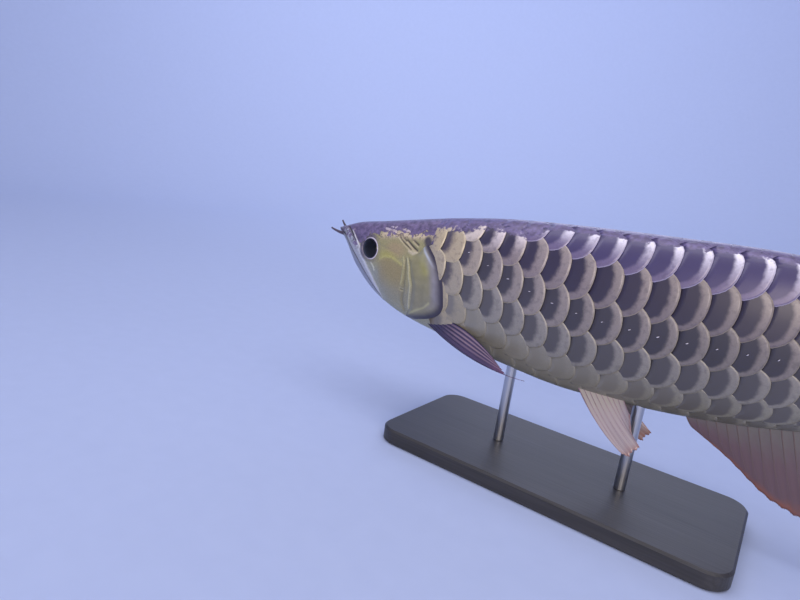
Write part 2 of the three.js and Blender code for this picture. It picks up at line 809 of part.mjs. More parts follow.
addPart("stand_base", standBase(), COLOURS.base, 0.5);
const restingTrunk = trunkCutter.translate([0, 0, -ROD_CLEARANCE]);
for (const [name, x] of Object.entries(RODS))
  addPart(`stand_rod_${name}`, standRod(x).subtract(restingTrunk), COLOURS.rod, 0.3, 1);

export default root;
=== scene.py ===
import math

import bpy
import numpy as np
from mathutils import Matrix, Vector


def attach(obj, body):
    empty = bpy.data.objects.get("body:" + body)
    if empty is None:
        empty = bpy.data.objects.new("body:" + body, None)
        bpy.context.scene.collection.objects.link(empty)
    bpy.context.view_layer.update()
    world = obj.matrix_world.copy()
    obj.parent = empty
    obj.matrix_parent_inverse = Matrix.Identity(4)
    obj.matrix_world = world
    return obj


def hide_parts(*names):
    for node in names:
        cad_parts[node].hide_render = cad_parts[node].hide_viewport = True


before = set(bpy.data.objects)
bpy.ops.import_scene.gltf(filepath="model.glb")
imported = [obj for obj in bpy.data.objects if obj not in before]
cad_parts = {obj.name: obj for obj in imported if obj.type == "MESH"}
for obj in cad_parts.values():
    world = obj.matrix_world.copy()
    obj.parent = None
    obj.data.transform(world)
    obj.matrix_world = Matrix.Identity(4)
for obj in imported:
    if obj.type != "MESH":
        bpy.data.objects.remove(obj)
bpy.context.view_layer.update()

# The camera, close in front of the fish and a little above its eye, turned along the flank
# towards the head. It is held with a slight roll, so the level fish runs down to the right.
CAMERA_PLACE = (0.0598, -0.4085, 0.2038)
CAMERA_FORWARD = Vector((-0.5456, 0.8116, -0.2088))
CAMERA_UP = Vector((-0.2355, 0.0907, 0.9676))
LENS_MM = 26.05

back = -CAMERA_FORWARD.normalized()
right = CAMERA_UP.cross(back).normalized()
up = back.cross(right)
camera = bpy.data.objects.new("camera", bpy.data.cameras.new("camera"))
camera.data.lens = LENS_MM
camera.data.sensor_width = 36
camera.data.clip_start = 0.01
camera.matrix_world = Matrix(
    [[right[i], up[i], back[i], CAMERA_PLACE[i]] for i in range(3)] + [[0, 0, 0, 1]]
)
bpy.context.scene.collection.objects.link(camera)
bpy.context.scene.camera = camera


# The studio: a round, pale, seamless floor that curves up into a wall on every side, so that it
# is plain from any angle, lit softly from above as an aquarium is, with a broad, warm fill in
# front and one light that brightens the far wall.
STUDIO_RADIUS = 3.2
WALL_CURVE = 1.4
WALL_TOP = 3.2
CURVE_STEPS = 16
STUDIO_SIDES = 96


def colour(text):
    """An sRGB hex colour as linear red, green, blue and 1."""
    parts = [int(text[i : i + 2], 16) / 255 for i in (1, 3, 5)]
    return (*[c / 12.92 if c <= 0.04045 else ((c + 0.055) / 1.055) ** 2.4 for c in parts], 1.0)


def add_node(tree, kind, inputs=(), **settings):
    """Adds a node. Inputs pairs a socket's name or number with a value, a colour's hex text,
    another node's socket, or another node, which stands for its first live output."""
    node = tree.nodes.new(kind)
    for name, value in settings.items():
        setattr(node, name, value)
    for key, value in dict(inputs).items():
        if isinstance(value, str) and value.startswith("#"):
            value = colour(value)
        if isinstance(value, bpy.types.Node):
            value = next(one for one in value.outputs if one.enabled)
        if isinstance(value, bpy.types.NodeSocket):
            tree.links.new(value, node.inputs[key])
        else:
            node.inputs[key].default_value = value
    return node


def new_material(name):
    """An empty material's tree, with its output."""
    made = bpy.data.materials.new(name)
    made.use_nodes = True
    made.node_tree.nodes.clear()
    return made, made.node_tree, made.node_tree.nodes.new("ShaderNodeOutputMaterial")


def new_mesh(name, points, faces, materials=(), smooth=True):
    """A mesh object at the origin from points in metres and faces, as lists or arrays."""
    mesh = bpy.data.meshes.new(name)
    mesh.from_pydata(np.asarray(points, float).tolist(), [], [list(map(int, f)) for f in faces])
    for one in materials:
        mesh.materials.append(one)
    mesh.polygons.foreach_set("use_smooth", [smooth] * len(mesh.polygons))
    made = bpy.data.objects.new(name, mesh)
    bpy.context.scene.collection.objects.link(made)
    return made


flat = STUDIO_RADIUS - WALL_CURVE
profile = [(flat, 0.0)]
for step in range(1, CURVE_STEPS + 1):
    angle = math.pi / 2 * step / CURVE_STEPS
    profile.append((flat + WALL_CURVE * math.sin(angle), WALL_CURVE * (1 - math.cos(angle))))
profile.append((STUDIO_RADIUS, WALL_TOP))
studio_points = [(0, 0, 0)]
for radius, height in profile:
    for j in range(STUDIO_SIDES):
        angle = 2 * math.pi * j / STUDIO_SIDES
        studio_points.append((radius * math.cos(angle), radius * math.sin(angle), height))
studio_faces = [(0, 1 + j, 1 + (j + 1) % STUDIO_SIDES) for j in range(STUDIO_SIDES)]
for i in range(len(profile) - 1):
    for j in range(STUDIO_SIDES):
        a, b = (1 + i * STUDIO_SIDES + (j + step) % STUDIO_SIDES for step in (0, 1))
        studio_faces.append((a, a + STUDIO_SIDES, b + STUDIO_SIDES, b))

# Matt studio paper: an even pale tone with a trace of fibre, so nothing in it draws the eye.
paper, tree, output = new_material("matt studio paper")
place = add_node(tree, "ShaderNodeTexCoord").outputs["Object"]
fibre = add_node(tree, "ShaderNodeTexNoise", {"Vector": place, "Scale": 60.0})
tone = add_node(tree, "ShaderNodeMix", {0: fibre, 6: "#AAB7D8", 7: "#AFBCDC"}, data_type="RGBA")
shade = add_node(tree, "ShaderNodeBsdfPrincipled", {"Base Color": tone, "Roughness": 0.9})
tree.links.new(shade.outputs[0], output.inputs[0])
studio = new_mesh("studio_floor", studio_points, studio_faces, [paper])

world = bpy.data.worlds.new("soft room light")
world.use_nodes = True
world.node_tree.nodes["Background"].inputs["Color"].default_value = colour("#E6E6F0")
world.node_tree.nodes["Background"].inputs["Strength"].default_value = 0.8
bpy.context.scene.world = world
bpy.context.scene.view_settings.view_transform = "Standard"

# Each light: its name, place, the point it is aimed at, its length and width in metres, its
# watts and its tint.
LIGHTS = [
    ("tank_light", (0, -0.15, 1.25), (0, 0, 0.1), (1.5, 0.7), 7, "#F4F2FF"),
    ("front_fill", (0.9, -1.7, 0.6), (0, 0, 0.7), (2.0, 0.9), 36, "#FFF0E0"),
    ("back_fill", (-0.3, 1.5, 0.9), (0, 0, 0.13), (1.2, 0.8), 4, "#EEF0FF"),
    ("wall_light", (-1.0, 1.2, 2.0), (-1.8, 2.7, 0.9), (2.2, 0.5), 26, "#F2F2FF"),
]
for name, place, aim, size, watts, tint in LIGHTS:
    data = bpy.data.lights.new(name, "AREA")
    data.shape = "RECTANGLE"
    data.size, data.size_y = size
    data.energy = watts
    data.color = colour(tint)[:3]
    lamp = bpy.data.objects.new(name, data)
    lamp.location = place
    way = Vector(aim) - Vector(place)
    lamp.rotation_euler = way.to_track_quat("-Z", "Y").to_euler()
    bpy.context.scene.collection.objects.link(lamp)


# The skin of the head, trunk and tail: one closed surface under the scales, with the bones of the
# head, the mouth, the lids' rims and the nostrils raised or sunk in it. The real one is wet skin
# over bone, violet-brown on the crown and olive gold on the cheeks.
LENGTH = 0.5
SNOUT = np.array([-0.28747, 0.0, 0.15])
BEND_START = 0.62
TAIL_SWING = 0.014
# Along the body: x, the back's height, the belly's height and half the width, all as shares of
# its length.
STATIONS = [
    [0, 0.0005, -0.0057, 0.009],
    [0.02, 0.009, -0.028, 0.019],
    [0.05, 0.0187, -0.067, 0.028],
    [0.1, 0.028, -0.104, 0.036],
    [0.16, 0.04, -0.1255, 0.042],
    [0.24, 0.055, -0.139, 0.0475],
    [0.34, 0.0685, -0.152, 0.05],
    [0.45, 0.076, -0.16, 0.05],
    [0.56, 0.081, -0.152, 0.047],
    [0.66, 0.084, -0.138, 0.042],
    [0.76, 0.078, -0.115, 0.035],
    [0.86, 0.06, -0.088, 0.026],
    [0.94, 0.041, -0.063, 0.018],
    [1, 0.035, -0.053, 0.012],
]
WIDEST = 0.56
BELLY_POWER = 1.75
BACK_POWER = 2.6
HEAD_POWER = 3.2


def smooth_curve(table, column):
    """A curve through one column of a table that never overshoots between its rows."""
    table = np.asarray(table, float)
    xs, ys = table[:, 0], table[:, column]
    slopes = np.diff(ys) / np.diff(xs)
    before, after = slopes[:-1], slopes[1:]
    total = np.where(before + after == 0, 1, before + after)
    inner = np.where(before * after > 0, 2 * before * after / total, 0)
    tangents = np.concatenate([slopes[:1], inner, slopes[-1:]])

    def at(x):
        i = np.clip(np.searchsorted(xs, x, side="right") - 1, 0, len(xs) - 2)
        span = xs[i + 1] - xs[i]
        t = np.clip((x - xs[i]) / span, 0, 1)
        t2, t3 = t * t, t * t * t
        rise = tangents[i] * (t3 - 2 * t2 + t) + tangents[i + 1] * (t3 - t2)
        return ys[i] * (2 * t3 - 3 * t2 + 1) + ys[i + 1] * (3 * t2 - 2 * t3) + span * rise

    return at


top_at, bottom_at, half_at = (smooth_curve(STATIONS, column) for column in (1, 2, 3))


def section_at(x):
    """Half width, centre, height above and below it, and the back's squareness at x."""
    top, bottom = top_at(x), bottom_at(x)
    centre = bottom + WIDEST * (top - bottom)
    rounding = np.clip((x - 0.1) / 0.15, 0, 1)
    back_power = HEAD_POWER + (BACK_POWER - HEAD_POWER) * rounding
    return half_at(x), centre, top - centre, centre - bottom, back_power


def placed(x, y, z):
    """A place on the fish in metres, with the sideways swing of the tail."""
    swing = TAIL_SWING * (np.maximum(0, x - BEND_START) / (1 - BEND_START)) ** 2
    return np.stack(
        [SNOUT[0] + x * LENGTH, SNOUT[1] + y * LENGTH + swing, SNOUT[2] + z * LENGTH], -1
    )


TABLE_X = np.linspace(0, 1, 401)
TABLE_TURN = np.linspace(0, 1, 161)
angles = np.linspace(0, np.pi, 321)
half, centre, above, below, back_power = section_at(TABLE_X[:, None])
upper = np.cos(angles) >= 0
power = 2 / np.where(upper, back_power, BELLY_POWER)
outline_y = half * np.maximum(np.sin(angles), 0) ** power
height = np.sign(np.cos(angles)) * np.abs(np.cos(angles)) ** power
outline_z = centre + height * np.where(upper, above, below)
runs = np.hypot(np.diff(outline_y, axis=1), np.diff(outline_z, axis=1)).cumsum(1)
runs = np.concatenate([np.zeros((len(TABLE_X), 1)), runs], 1)
girth = runs[:, -1]
body_y, body_z = (
    np.array([np.interp(TABLE_TURN * run[-1], run, line) for run, line in zip(runs, outline)])
    for outline in (outline_y, outline_z)
)


def looked_up(table, x, turn):
    """A value of the body's table between its rows and columns."""
    across = np.clip(x, 0, 1) * (len(TABLE_X) - 1)
    down = np.clip(np.abs(turn), 0, 1) * (len(TABLE_TURN) - 1)
    i = np.minimum(across.astype(int), len(TABLE_X) - 2)
    j = np.minimum(down.astype(int), len(TABLE_TURN) - 2)
    s, t = across - i, down - j
    first = table[i, j] * (1 - t) + table[i, j + 1] * t
    return first * (1 - s) + (table[i + 1, j] * (1 - t) + table[i + 1, j + 1] * t) * s


def skin_point(x, turn, lift_mm=0.0):
    """A point of the skin. Turn is 0 on the back and 1 on the belly, below zero on the left."""

    def bare(u, w):
        w = np.where(w > 1, w - 2, np.where(w < -1, w + 2, w))
        return placed(u, np.sign(w) * looked_up(body_y, u, w), looked_up(body_z, u, w))

    x, turn = np.broadcast_arrays(np.asarray(x, float), np.asarray(turn, float))
    along = bare(np.minimum(1, x + 0.004), turn) - bare(np.maximum(0, x - 0.004), turn)
    round_it = bare(x, turn + 0.02) - bare(x, turn - 0.02)
    out = np.cross(along, round_it)
    out /= np.linalg.norm(out, axis=-1, keepdims=True)
    return bare(x, turn) + out * np.asarray(lift_mm)[..., None] / 1000


def flank_point(x, z, side, lift_mm=0.0):
    """A point of the flank by its x and z as seen square from the side."""

    def bare(u, w):
        half, centre, above, below, back_power = section_at(u)
        power = np.where(w > centre, back_power, BELLY_POWER)
        share = np.minimum(1, np.abs(w - centre) / np.where(w > centre, above, below))
        return placed(u, side * half * (1 - share**power) ** (1 / power), w)

    x, z = np.broadcast_arrays(np.asarray(x, float), np.asarray(z, float))
    along = bare(x + 0.003, z) - bare(x - 0.003, z)
    upward = bare(x, z + 0.003) - bare(x, z - 0.003)
    out = -side * np.cross(along, upward)
    out /= np.linalg.norm(out, axis=-1, keepdims=True)
    return bare(x, z) + out * np.asarray(lift_mm)[..., None] / 1000


def soft_step(start, end, value):
    """Rises smoothly from 0 at the start to 1 at the end."""
    t = np.clip((value - start) / (end - start), 0, 1)
    return t * t * (3 - 2 * t)


def distance_mm(x, z, line):
    """How far points lie from a line drawn on the side view, in millimetres of the real fish."""
    nearest = np.full(np.shape(x), np.inf)
    line = np.asarray(line, float)
    for (ax, az), (bx, bz) in zip(line[:-1], line[1:]):
        dx, dz = bx - ax, bz - az
        t = np.clip(((x - ax) * dx + (z - az) * dz) / (dx * dx + dz * dz), 0, 1)
        nearest = np.minimum(nearest, np.hypot(x - ax - t * dx, z - az - t * dz))
    return nearest * LENGTH * 1000


def bell(distance, width):
    """1 on a line, fading softly over the width to either side."""
    return np.exp(-((distance / width) ** 2))


# Lines of the head on the side view, as x and z shares of the body's length.
MOUTH = [[-0.012, 0.001], [0, -0.002], [0.022, -0.0075], [0.045, -0.029], [0.0633, -0.0462]]
MOUTH += [[0.0875, -0.0718], [0.1033, -0.0876], [0.1175, -0.1015], [0.126, -0.13]]
UPPER_JAW = [[0.03, 0.004], [0.0517, -0.0065], [0.0608, -0.0166], [0.07, -0.0275]]
UPPER_JAW += [[0.0808, -0.0394], [0.09, -0.0517], [0.0992, -0.0627], [0.1058, -0.0738]]
UPPER_JAW += [[0.1142, -0.0864], [0.119, -0.098]]
SNOUT_DARK = [[0.026, 0.0075], [0.0308, 0.0047], [0.04, -0.0008], [0.0467, -0.0059]]
SNOUT_DARK += [[0.055, -0.0134]]
SNOUT_FOLD = [[0.0417, 0.002], [0.0483, -0.0035], [0.0567, -0.0118], [0.0655, -0.0205]]
SNOUT_FOLD += [[0.072, -0.0295]]
CHEEK_RIDGE = [[0.1192, -0.0332], [0.1267, -0.0286], [0.1425, -0.0264], [0.155, -0.0305]]
CHEEK_RIDGE += [[0.1658, -0.0341]]
CHEEK_REAR = [[0.1683, -0.0205], [0.1717, -0.0372], [0.17, -0.056], [0.1675, -0.0671]]
CHEEK_TOP = [[0.112, -0.0102], [0.14, -0.0157], [0.158, -0.0185], [0.1683, -0.0205]]
CHEEK_FLOOR = [[0.112, -0.056], [0.125, -0.082], [0.145, -0.0948], [0.17, -0.1024]]
CHEEK_FLOOR += [[0.178, -0.112]]
UNDER_EYE = [[0.098, -0.0445], [0.1045, -0.0508], [0.1055, -0.0555]]
RIDGE = [[0.1775, -0.0213], [0.1825, -0.035], [0.1842, -0.0495], [0.1883, -0.0636]]
RIDGE += [[0.1867, -0.0762], [0.1845, -0.09], [0.182, -0.1044]]
GROOVE = [[0.173, -0.024], [0.1745, -0.04], [0.175, -0.0535], [0.174, -0.0686]]
GROOVE += [[0.169, -0.0935], [0.1695, -0.112]]
UNDER_SLASHES = [[0.178, -0.0085], [0.1858, -0.0118], [0.1935, -0.0082]]
SLASHES = [
    [[0.1508, 0.0114], [0.1667, 0.0017], [0.1817, -0.0055]],
    [[0.1592, 0.0112], [0.1742, 0.0034], [0.1877, -0.005]],
    [[0.1705, 0.0077], [0.183, 0.0001], [0.1945, -0.0056]],
    [[0.1825, 0.0097], [0.1942, 0.004]],
]
STREAKS = [
    [[0.06, 0.0096], [0.0658, 0.0151], [0.0783, 0.0185]],
    [[0.0692, 0.0108], [0.0792, 0.0132]],
    [[0.1117, 0.0184], [0.1267, 0.0176], [0.1417, 0.0171]],
    [[0.1267, 0.0221], [0.14, 0.0238]],
    [[0.1525, 0.0228], [0.1692, 0.0216]],
]
# A line behind the gill cover's upper rear edge, along which shadow is painted on the shoulder.
SHOULDER_SHADE = [[0.21, 0.014], [0.2175, 0.004], [0.2285, -0.0076], [0.238, -0.021]]
CROWN_EDGE = [[-0.02, -0.004], [0.02, 0], [0.04, -0.006], [0.06, -0.02], [0.07, -0.012]]
CROWN_EDGE += [[0.085, 0.003], [0.1042, 0.0069], [0.11, 0.0075], [0.1208, 0.0112], [0.1342, 0.013]]
CROWN_EDGE += [[0.1458, 0.0155], [0.1567, 0.0175], [0.17, 0.0185], [0.18, 0.0185], [0.19, 0.0205]]
CROWN_EDGE += [[0.2, 0.0225], [0.21, 0.0215], [0.22, 0.023], [0.3, 0.05]]
PIT = [[0.167, -0.0748], [0.1712, -0.0757]]
# The eye's x and z, and its radius, bulge and depth in millimetres.
EYE = {"x": 0.0925, "z": -0.0205, "radius": 10.5, "bulge": 0.5, "sunk": 2.9}
# Each nostril's x, turn and radius in millimetres.
NOSTRILS = [(0.026, 0.3, 1.0), (0.046, 0.27, 1.3)]
THROAT_FOLDS = (0.86, 0.915, 0.96)
# Strokes of paint along a line: the line, half its width in millimetres, strength and colour.
CHEEK_STROKES = [
    (CHEEK_RIDGE, 1.3, 0.5, "#B2AF70"),
    (UNDER_EYE, 0.8, 0.7, "#C9CDBE"),
    (CHEEK_REAR, 0.9, 0.45, "#B9B88A"),
]
COVER_STROKES = [(RIDGE, 0.8, 0.6, "#BCBB9C"), (UNDER_SLASHES, 1.3, 0.8, "#C9BFA8")]
SNOUT_STROKES = [(SNOUT_DARK, 1.5, 1.0, "#2E2838"), (SNOUT_FOLD, 0.5, 0.95, "#DDDCEC")]
STREAK_STROKES = [(line, 1.6, 0.9, "#B5A9C2") for line in STREAKS]
# Relief along a line: the line, its height and half its width, both in millimetres.
RELIEF = [
    (SNOUT_DARK, -0.6, 1.0),
    (SNOUT_FOLD, 0.5, 0.6),
    (CHEEK_RIDGE, 0.5, 1.1),
    (CHEEK_TOP, -0.3, 0.6),
    (CHEEK_FLOOR, -0.25, 0.7),
    (UNDER_EYE, 0.25, 0.8),
    (CHEEK_REAR, 0.45, 0.9),
    (GROOVE, -0.7, 1.1),
    (RIDGE, 0.7, 1.0),
    (PIT, -0.6, 0.8),
]
# The skin of the flanks under the scales, from the back to the belly: turn and colour.
FLANK_TONES = [(0, "#5E5580"), (0.12, "#564D74"), (0.2, "#4A4358"), (0.5, "#55525A")]
FLANK_TONES += [(0.72, "#6E6B6C"), (0.85, "#7F7D74"), (0.96, "#7E7C6C"), (1, "#82806A")]
HEAD_END = 0.26
CROWN_END = 0.24
FAR_BELOW_CROWN = -8

head_x = np.linspace(0, HEAD_END, 251)
body_x = np.linspace(HEAD_END, 1, 111)[1:]
HEAD_AROUND, BODY_AROUND = 280, 140


def paint_of(text):
    """A colour as an array of linear red, green and blue."""
    return np.array(colour(text)[:3])


def lay(tones, mask, text):
    """Paints a colour over tones in place, as strongly as the mask says."""
    tones[:] = tones * (1 - mask[..., None]) + paint_of(text) * mask[..., None]


def paint_head(x, z, turn, side, points):
    """The relief in millimetres, the paint, and how far above the crown's edge, at each point."""
    tone = np.ones((*x.shape, 3)) * paint_of("#938F69")
    lift = np.zeros(x.shape)

    def stroke(line, width, lowered=0.0):
        return bell(distance_mm(x, z + lowered, line), width)

    def lay_strokes(strokes):
        for line, width, strength, text in strokes:
            lay(tone, stroke(line, width) * strength, text)

    round_head = 1 - soft_step(0.2, 0.24, x)
    mouth_z = np.interp(x, *np.array(MOUTH).T)
    from_mouth = distance_mm(x, z, MOUTH)
    over_mouth = z > mouth_z
    gape = 1 - soft_step(0.113, 0.119, x)
    from_jaw_top = distance_mm(x, z, UPPER_JAW)
    under_top = z < np.interp(x, *np.array(UPPER_JAW).T)
    in_jaw = np.where(under_top & over_mouth & (x < 0.119), soft_step(0, 0.6, from_jaw_top), 0)
    eye_place = flank_point(EYE["x"], EYE["z"], side)
    from_eye = np.linalg.norm(points - eye_place, axis=-1) * 1000
    eye_front = soft_step(0.012, -0.012, x - EYE["x"] - 0.5 * (z - EYE["z"]))

    lay(tone, soft_step(-0.05, -0.085, z) * 0.8, "#86867A")
    lay(tone, soft_step(0.15, 0.105, x) * soft_step(-0.03, -0.06, z), "#858A86")
    lay(tone, soft_step(-0.085, -0.12, z) * 0.8, "#90927E")
    lay(tone, soft_step(7, 0, from_jaw_top) * 0.6, "#949A94")
    warm = np.hypot((x - 0.15) / 0.024, (z + 0.011) / 0.014)
    lay(tone, soft_step(1.3, 0.3, warm) * 0.7, "#A08E70")
    glow = np.hypot((x - 0.134) / 0.02, (z + 0.025) / 0.0085)
    lay(tone, soft_step(1.5, 0.2, glow) * 0.7, "#A09C58")
    under_ridge = np.interp(x, *np.array(CHEEK_RIDGE).T) - z
    plate = soft_step(-0.002, 0.002, under_ridge) * soft_step(0.065, 0.02, under_ridge)
    lay(tone, plate * soft_step(0.108, 0.128, x) * soft_step(0.172, 0.167, x) * 0.7, "#8A7E5C")
    lay_strokes(CHEEK_STROKES)
    lay(tone, stroke(GROOVE, 2.0) * soft_step(-0.018, -0.03, z) * 0.6, "#6E6A52")
    lay_strokes(COVER_STROKES)
    lay(tone, bell(distance_mm(x, z, PIT) - 1.1, 0.5) * 0.5, "#B9B99A")
    lay(tone, stroke(PIT, 0.8) * 0.7, "#55523F")
    for slash in SLASHES:
        lay(tone, stroke(slash, 0.6, 0.0028) * 0.8, "#D3C8A4")
        lay(tone, stroke(slash, 0.8), "#2A2126")
    lay(tone, in_jaw * 0.9, "#9DA3B6")
    # Painted highlight: a whitish band along the upper part of the silver jaw strip.
    lay(tone, in_jaw * bell(from_jaw_top - 1.8, 1.3) * 0.7, "#C9CED8")
    lay(tone, np.where(over_mouth, 0, 1) * soft_step(0.125, 0.1, x) * 0.9, "#7F869C")
    lay(tone, soft_step(0.024, 0.01, x) * soft_step(0.004, -0.002, z) * 0.85, "#4A4358")
    lay_strokes(SNOUT_STROKES)
    # Painted shade: a dark line in the crease of the mouth, where the jaws meet.
    lay(tone, bell(from_mouth, 0.7) * gape, "#2C2838")
    around_eye = soft_step(13.6, 11.4, from_eye)
    lay(tone, around_eye * (0.25 + 0.6 * eye_front), "#4D4763")
    # A silver line on the lid's rim, partly its own colour and partly painted highlight, brighter
    # towards the rear.
    lay(tone, bell(from_eye - 9.6, 0.4) * (0.25 + 0.35 * (1 - eye_front)), "#8C8A9E")
    # Painted shade: the sunken skin of the socket under the eyeball, near black.
    lay(tone, soft_step(9.2, 8.6, from_eye), "#1B1922")
    lay_strokes(STREAK_STROKES)
    # Painted shadow on the shoulder behind the gill cover's upper rear edge.
    from_shade = distance_mm(x, z, SHOULDER_SHADE)
    lay(tone, soft_step(5.6, 1.6, from_shade) * 0.9, "#3A3448")

    lift += in_jaw * 0.6 * round_head
    lift += np.where(over_mouth, 0, 0.35) * soft_step(6, 0, from_mouth) * gape
    lift -= 1.5 * bell(from_mouth, 0.65) * gape
    for line, height, width in RELIEF:
        lift += height * stroke(line, width)
    for slash in SLASHES:
        lift += 0.3 * stroke(slash, 0.5, 0.0026) - 0.6 * stroke(slash, 0.5)
    for line in THROAT_FOLDS:
        fold = bell((np.abs(turn) - line) * 110, 0.5) * soft_step(0.12, 0.15, x) * round_head
        lift -= 0.45 * fold
    lift += 0.6 * bell(from_eye - 10.2, 0.9)
    lift -= 4.2 * soft_step(9.7, 8.6, from_eye)
    # Each nostril is a shallow pit painted near black, as painted shade in its opening.
    for at_x, at_turn, radius in NOSTRILS:
        nostril = skin_point(at_x, side * at_turn)
        away = np.linalg.norm(points - nostril, axis=-1) * 1000
        lift += 0.45 * bell(away - radius * 1.5, 0.5) - 1.3 * bell(away, radius)
        lay(tone, bell(away, radius), "#16131C")
    crown = (z - np.interp(x, *np.array(CROWN_EDGE).T)) * LENGTH * 1000
    fringe = bell(crown + 1.0, 3.2) * soft_step(0.105, 0.12, x) * soft_step(2.0, 5.0, from_shade)
    lay(tone, fringe * 0.8, "#CBBBA2")
    for line in (SNOUT_DARK, SNOUT_FOLD):
        crown = crown - 14 * stroke(line, 0.8)
    for line in STREAKS:
        crown = crown - 6.5 * stroke(line, 0.9)
    # The crown's violet is kept off the painted shadow behind the gill cover.
    crown = crown - 8 * soft_step(5.0, 2.5, from_shade)
    return lift * round_head, tone, crown


def skin_rings(xs, around):
    """Rings of the skin at xs, with their relief and paint."""
    turns = -1 + 2 * np.arange(around) / around
    x, turn = np.meshgrid(xs, turns, indexing="ij")
    z = looked_up(body_z, x, turn)
    bare = skin_point(x, turn)
    left = paint_head(x, z, turn, -1, bare)
    right_half = paint_head(x, z, turn, 1, bare)
    pick = turn > 0
    lift, crown = (np.where(pick, right_half[i], left[i]) for i in (0, 2))
    tone = np.where(pick[..., None], right_half[1], left[1])
    trunk = soft_step(0.2, 0.25, x)[..., None]
    stops = [share for share, _ in FLANK_TONES]
    levels = np.array([paint_of(text) for _, text in FLANK_TONES])
    flank = np.stack([np.interp(np.abs(turn), stops, levels[:, c]) for c in range(3)], -1)
    tone = tone * (1 - trunk) + flank * trunk
    crown = np.where(x > CROWN_END, FAR_BELOW_CROWN, crown)
    return skin_point(x, turn, lift), tone, crown, np.stack([x, turn], -1)


head_rings, body_rings = skin_rings(head_x, HEAD_AROUND), skin_rings(body_x, BODY_AROUND)
NOSE_RINGS = 6
NOSE_LENGTH = 0.0028
TAIL_CAP = 0.0005
nose_centre = head_rings[0][0].mean(0)
nose = []
for i in range(NOSE_RINGS):
    angle = math.pi / 2 * (1 - (i + 1) / (NOSE_RINGS + 1))
    ring = nose_centre + (head_rings[0][0] - nose_centre) * math.sin(angle)
    nose.append(ring - np.array([NOSE_LENGTH * math.cos(angle), 0, 0]))
tip = nose_centre - np.array([NOSE_LENGTH, 0, 0])
tail_end = body_rings[0][-1].mean(0) + np.array([TAIL_CAP, 0, 0])
rings = [one[0].reshape(-1, 3) for one in (head_rings, body_rings)]
skin_points = np.concatenate([tip[None], *nose[::-1], *rings, tail_end[None]])
first_head = 1 + NOSE_RINGS * HEAD_AROUND
first_body = first_head + len(head_x) * HEAD_AROUND
last = len(skin_points) - 1
skin_faces = [(0, 1 + (j + 1) % HEAD_AROUND, 1 + j) for j in range(HEAD_AROUND)]


def join_rings(first, rows, around):
    """Faces between rows of rings, of which the first starts at point first."""
    for row in range(first, first + rows * around, around):
        for j in range(around):
            k = (j + 1) % around
            skin_faces.append((row + j, row + k, row + around + k, row + around + j))


join_rings(1, NOSE_RINGS + len(head_x) - 1, HEAD_AROUND)
last_fine = first_body - HEAD_AROUND
for j in range(BODY_AROUND):
    a, b, c = (last_fine + (2 * j + s) % HEAD_AROUND for s in range(3))
    d, e = first_body + j, first_body + (j + 1) % BODY_AROUND
    skin_faces += [(a, b, d), (b, e, d), (b, c, e)]
join_rings(first_body, len(body_x) - 1, BODY_AROUND)
final_ring = last - BODY_AROUND
for j in range(BODY_AROUND):
    skin_faces.append((last, final_ring + j, final_ring + (j + 1) % BODY_AROUND))


def whole(index, width):
    """One value of the skin for every point, the nose and the tail's end included."""
    head, body = head_rings[index], body_rings[index]
    nose_part = np.repeat(head[:1].reshape(1, HEAD_AROUND, width), NOSE_RINGS, 0)
    parts = [head[0].reshape(-1, width).mean(0)[None], nose_part.reshape(-1, width)]
    parts += [head.reshape(-1, width), body.reshape(-1, width)]
    return np.concatenate([*parts, body[-1].reshape(-1, width).mean(0)[None]])


def give_colour(mesh, name, tones):
    """A colour for each point, which the material reads by name."""
    layer = mesh.attributes.new(name, "FLOAT_COLOR", "POINT")
    layer.data.foreach_set("color", np.concatenate([tones, np.ones((len(tones), 1))], 1).ravel())


def give_number(mesh, name, values):
    """A number for each point, which the material reads by name."""
    mesh.attributes.new(name, "FLOAT", "POINT").data.foreach_set("value", np.ravel(values))


def give_map(mesh, name, places):
    """A UV map from a place for each point of the mesh."""
    corners = np.zeros(len(mesh.loops), int)
    mesh.loops.foreach_get("vertex_index", corners)
    mesh.uv_layers.new(name=name).data.foreach_set("uv", places[corners].ravel())


# Wet skin over bone: olive gold with a jagged, freckled edge to the violet-brown crown, pores and
# fine wrinkles in its bump, and the soft gloss of a clear coat of slime.
wet_skin, tree, output = new_material("wet fish skin")
place = add_node(tree, "ShaderNodeTexCoord").outputs["Object"]
painted = add_node(tree, "ShaderNodeAttribute", attribute_name="paint")
crown = add_node(tree, "ShaderNodeAttribute", attribute_name="crown").outputs["Fac"]
coarse = add_node(tree, "ShaderNodeTexNoise", {"Vector": place, "Scale": 300.0, "Detail": 4.0})
fine = add_node(tree, "ShaderNodeTexNoise", {"Vector": place, "Scale": 900.0, "Detail": 2.0})
ragged = add_node(tree, "ShaderNodeMath", {0: coarse, 1: 22.0, 2: crown}, operation="MULTIPLY_ADD")
crown_mask = add_node(
    tree, "ShaderNodeMapRange",
    {"Value": ragged, "From Min": 10.2, "From Max": 11.4}, interpolation_type="SMOOTHSTEP",
)
crown_cloud = add_node(
    tree, "ShaderNodeMapRange", {"Value": coarse, "From Min": 0.35, "From Max": 0.68}
)
crown_tone = add_node(
    tree, "ShaderNodeMix", {0: crown_cloud, 6: "#4E4562", 7: "#75688C"}, data_type="RGBA"
)
freckle = add_node(
    tree, "ShaderNodeMapRange",
    {"Value": fine, "From Min": 0.36, "From Max": 0.72, "To Min": 0.86, "To Max": 1.1},
)
mottled = add_node(
    tree, "ShaderNodeMix", {0: 1.0, 6: painted, 7: freckle}, data_type="RGBA", blend_type="MULTIPLY"
)
near_crown = add_node(
    tree, "ShaderNodeMapRange", {"Value": crown, "From Min": -6.5, "From Max": -1.0, "To Max": 0.75}
)
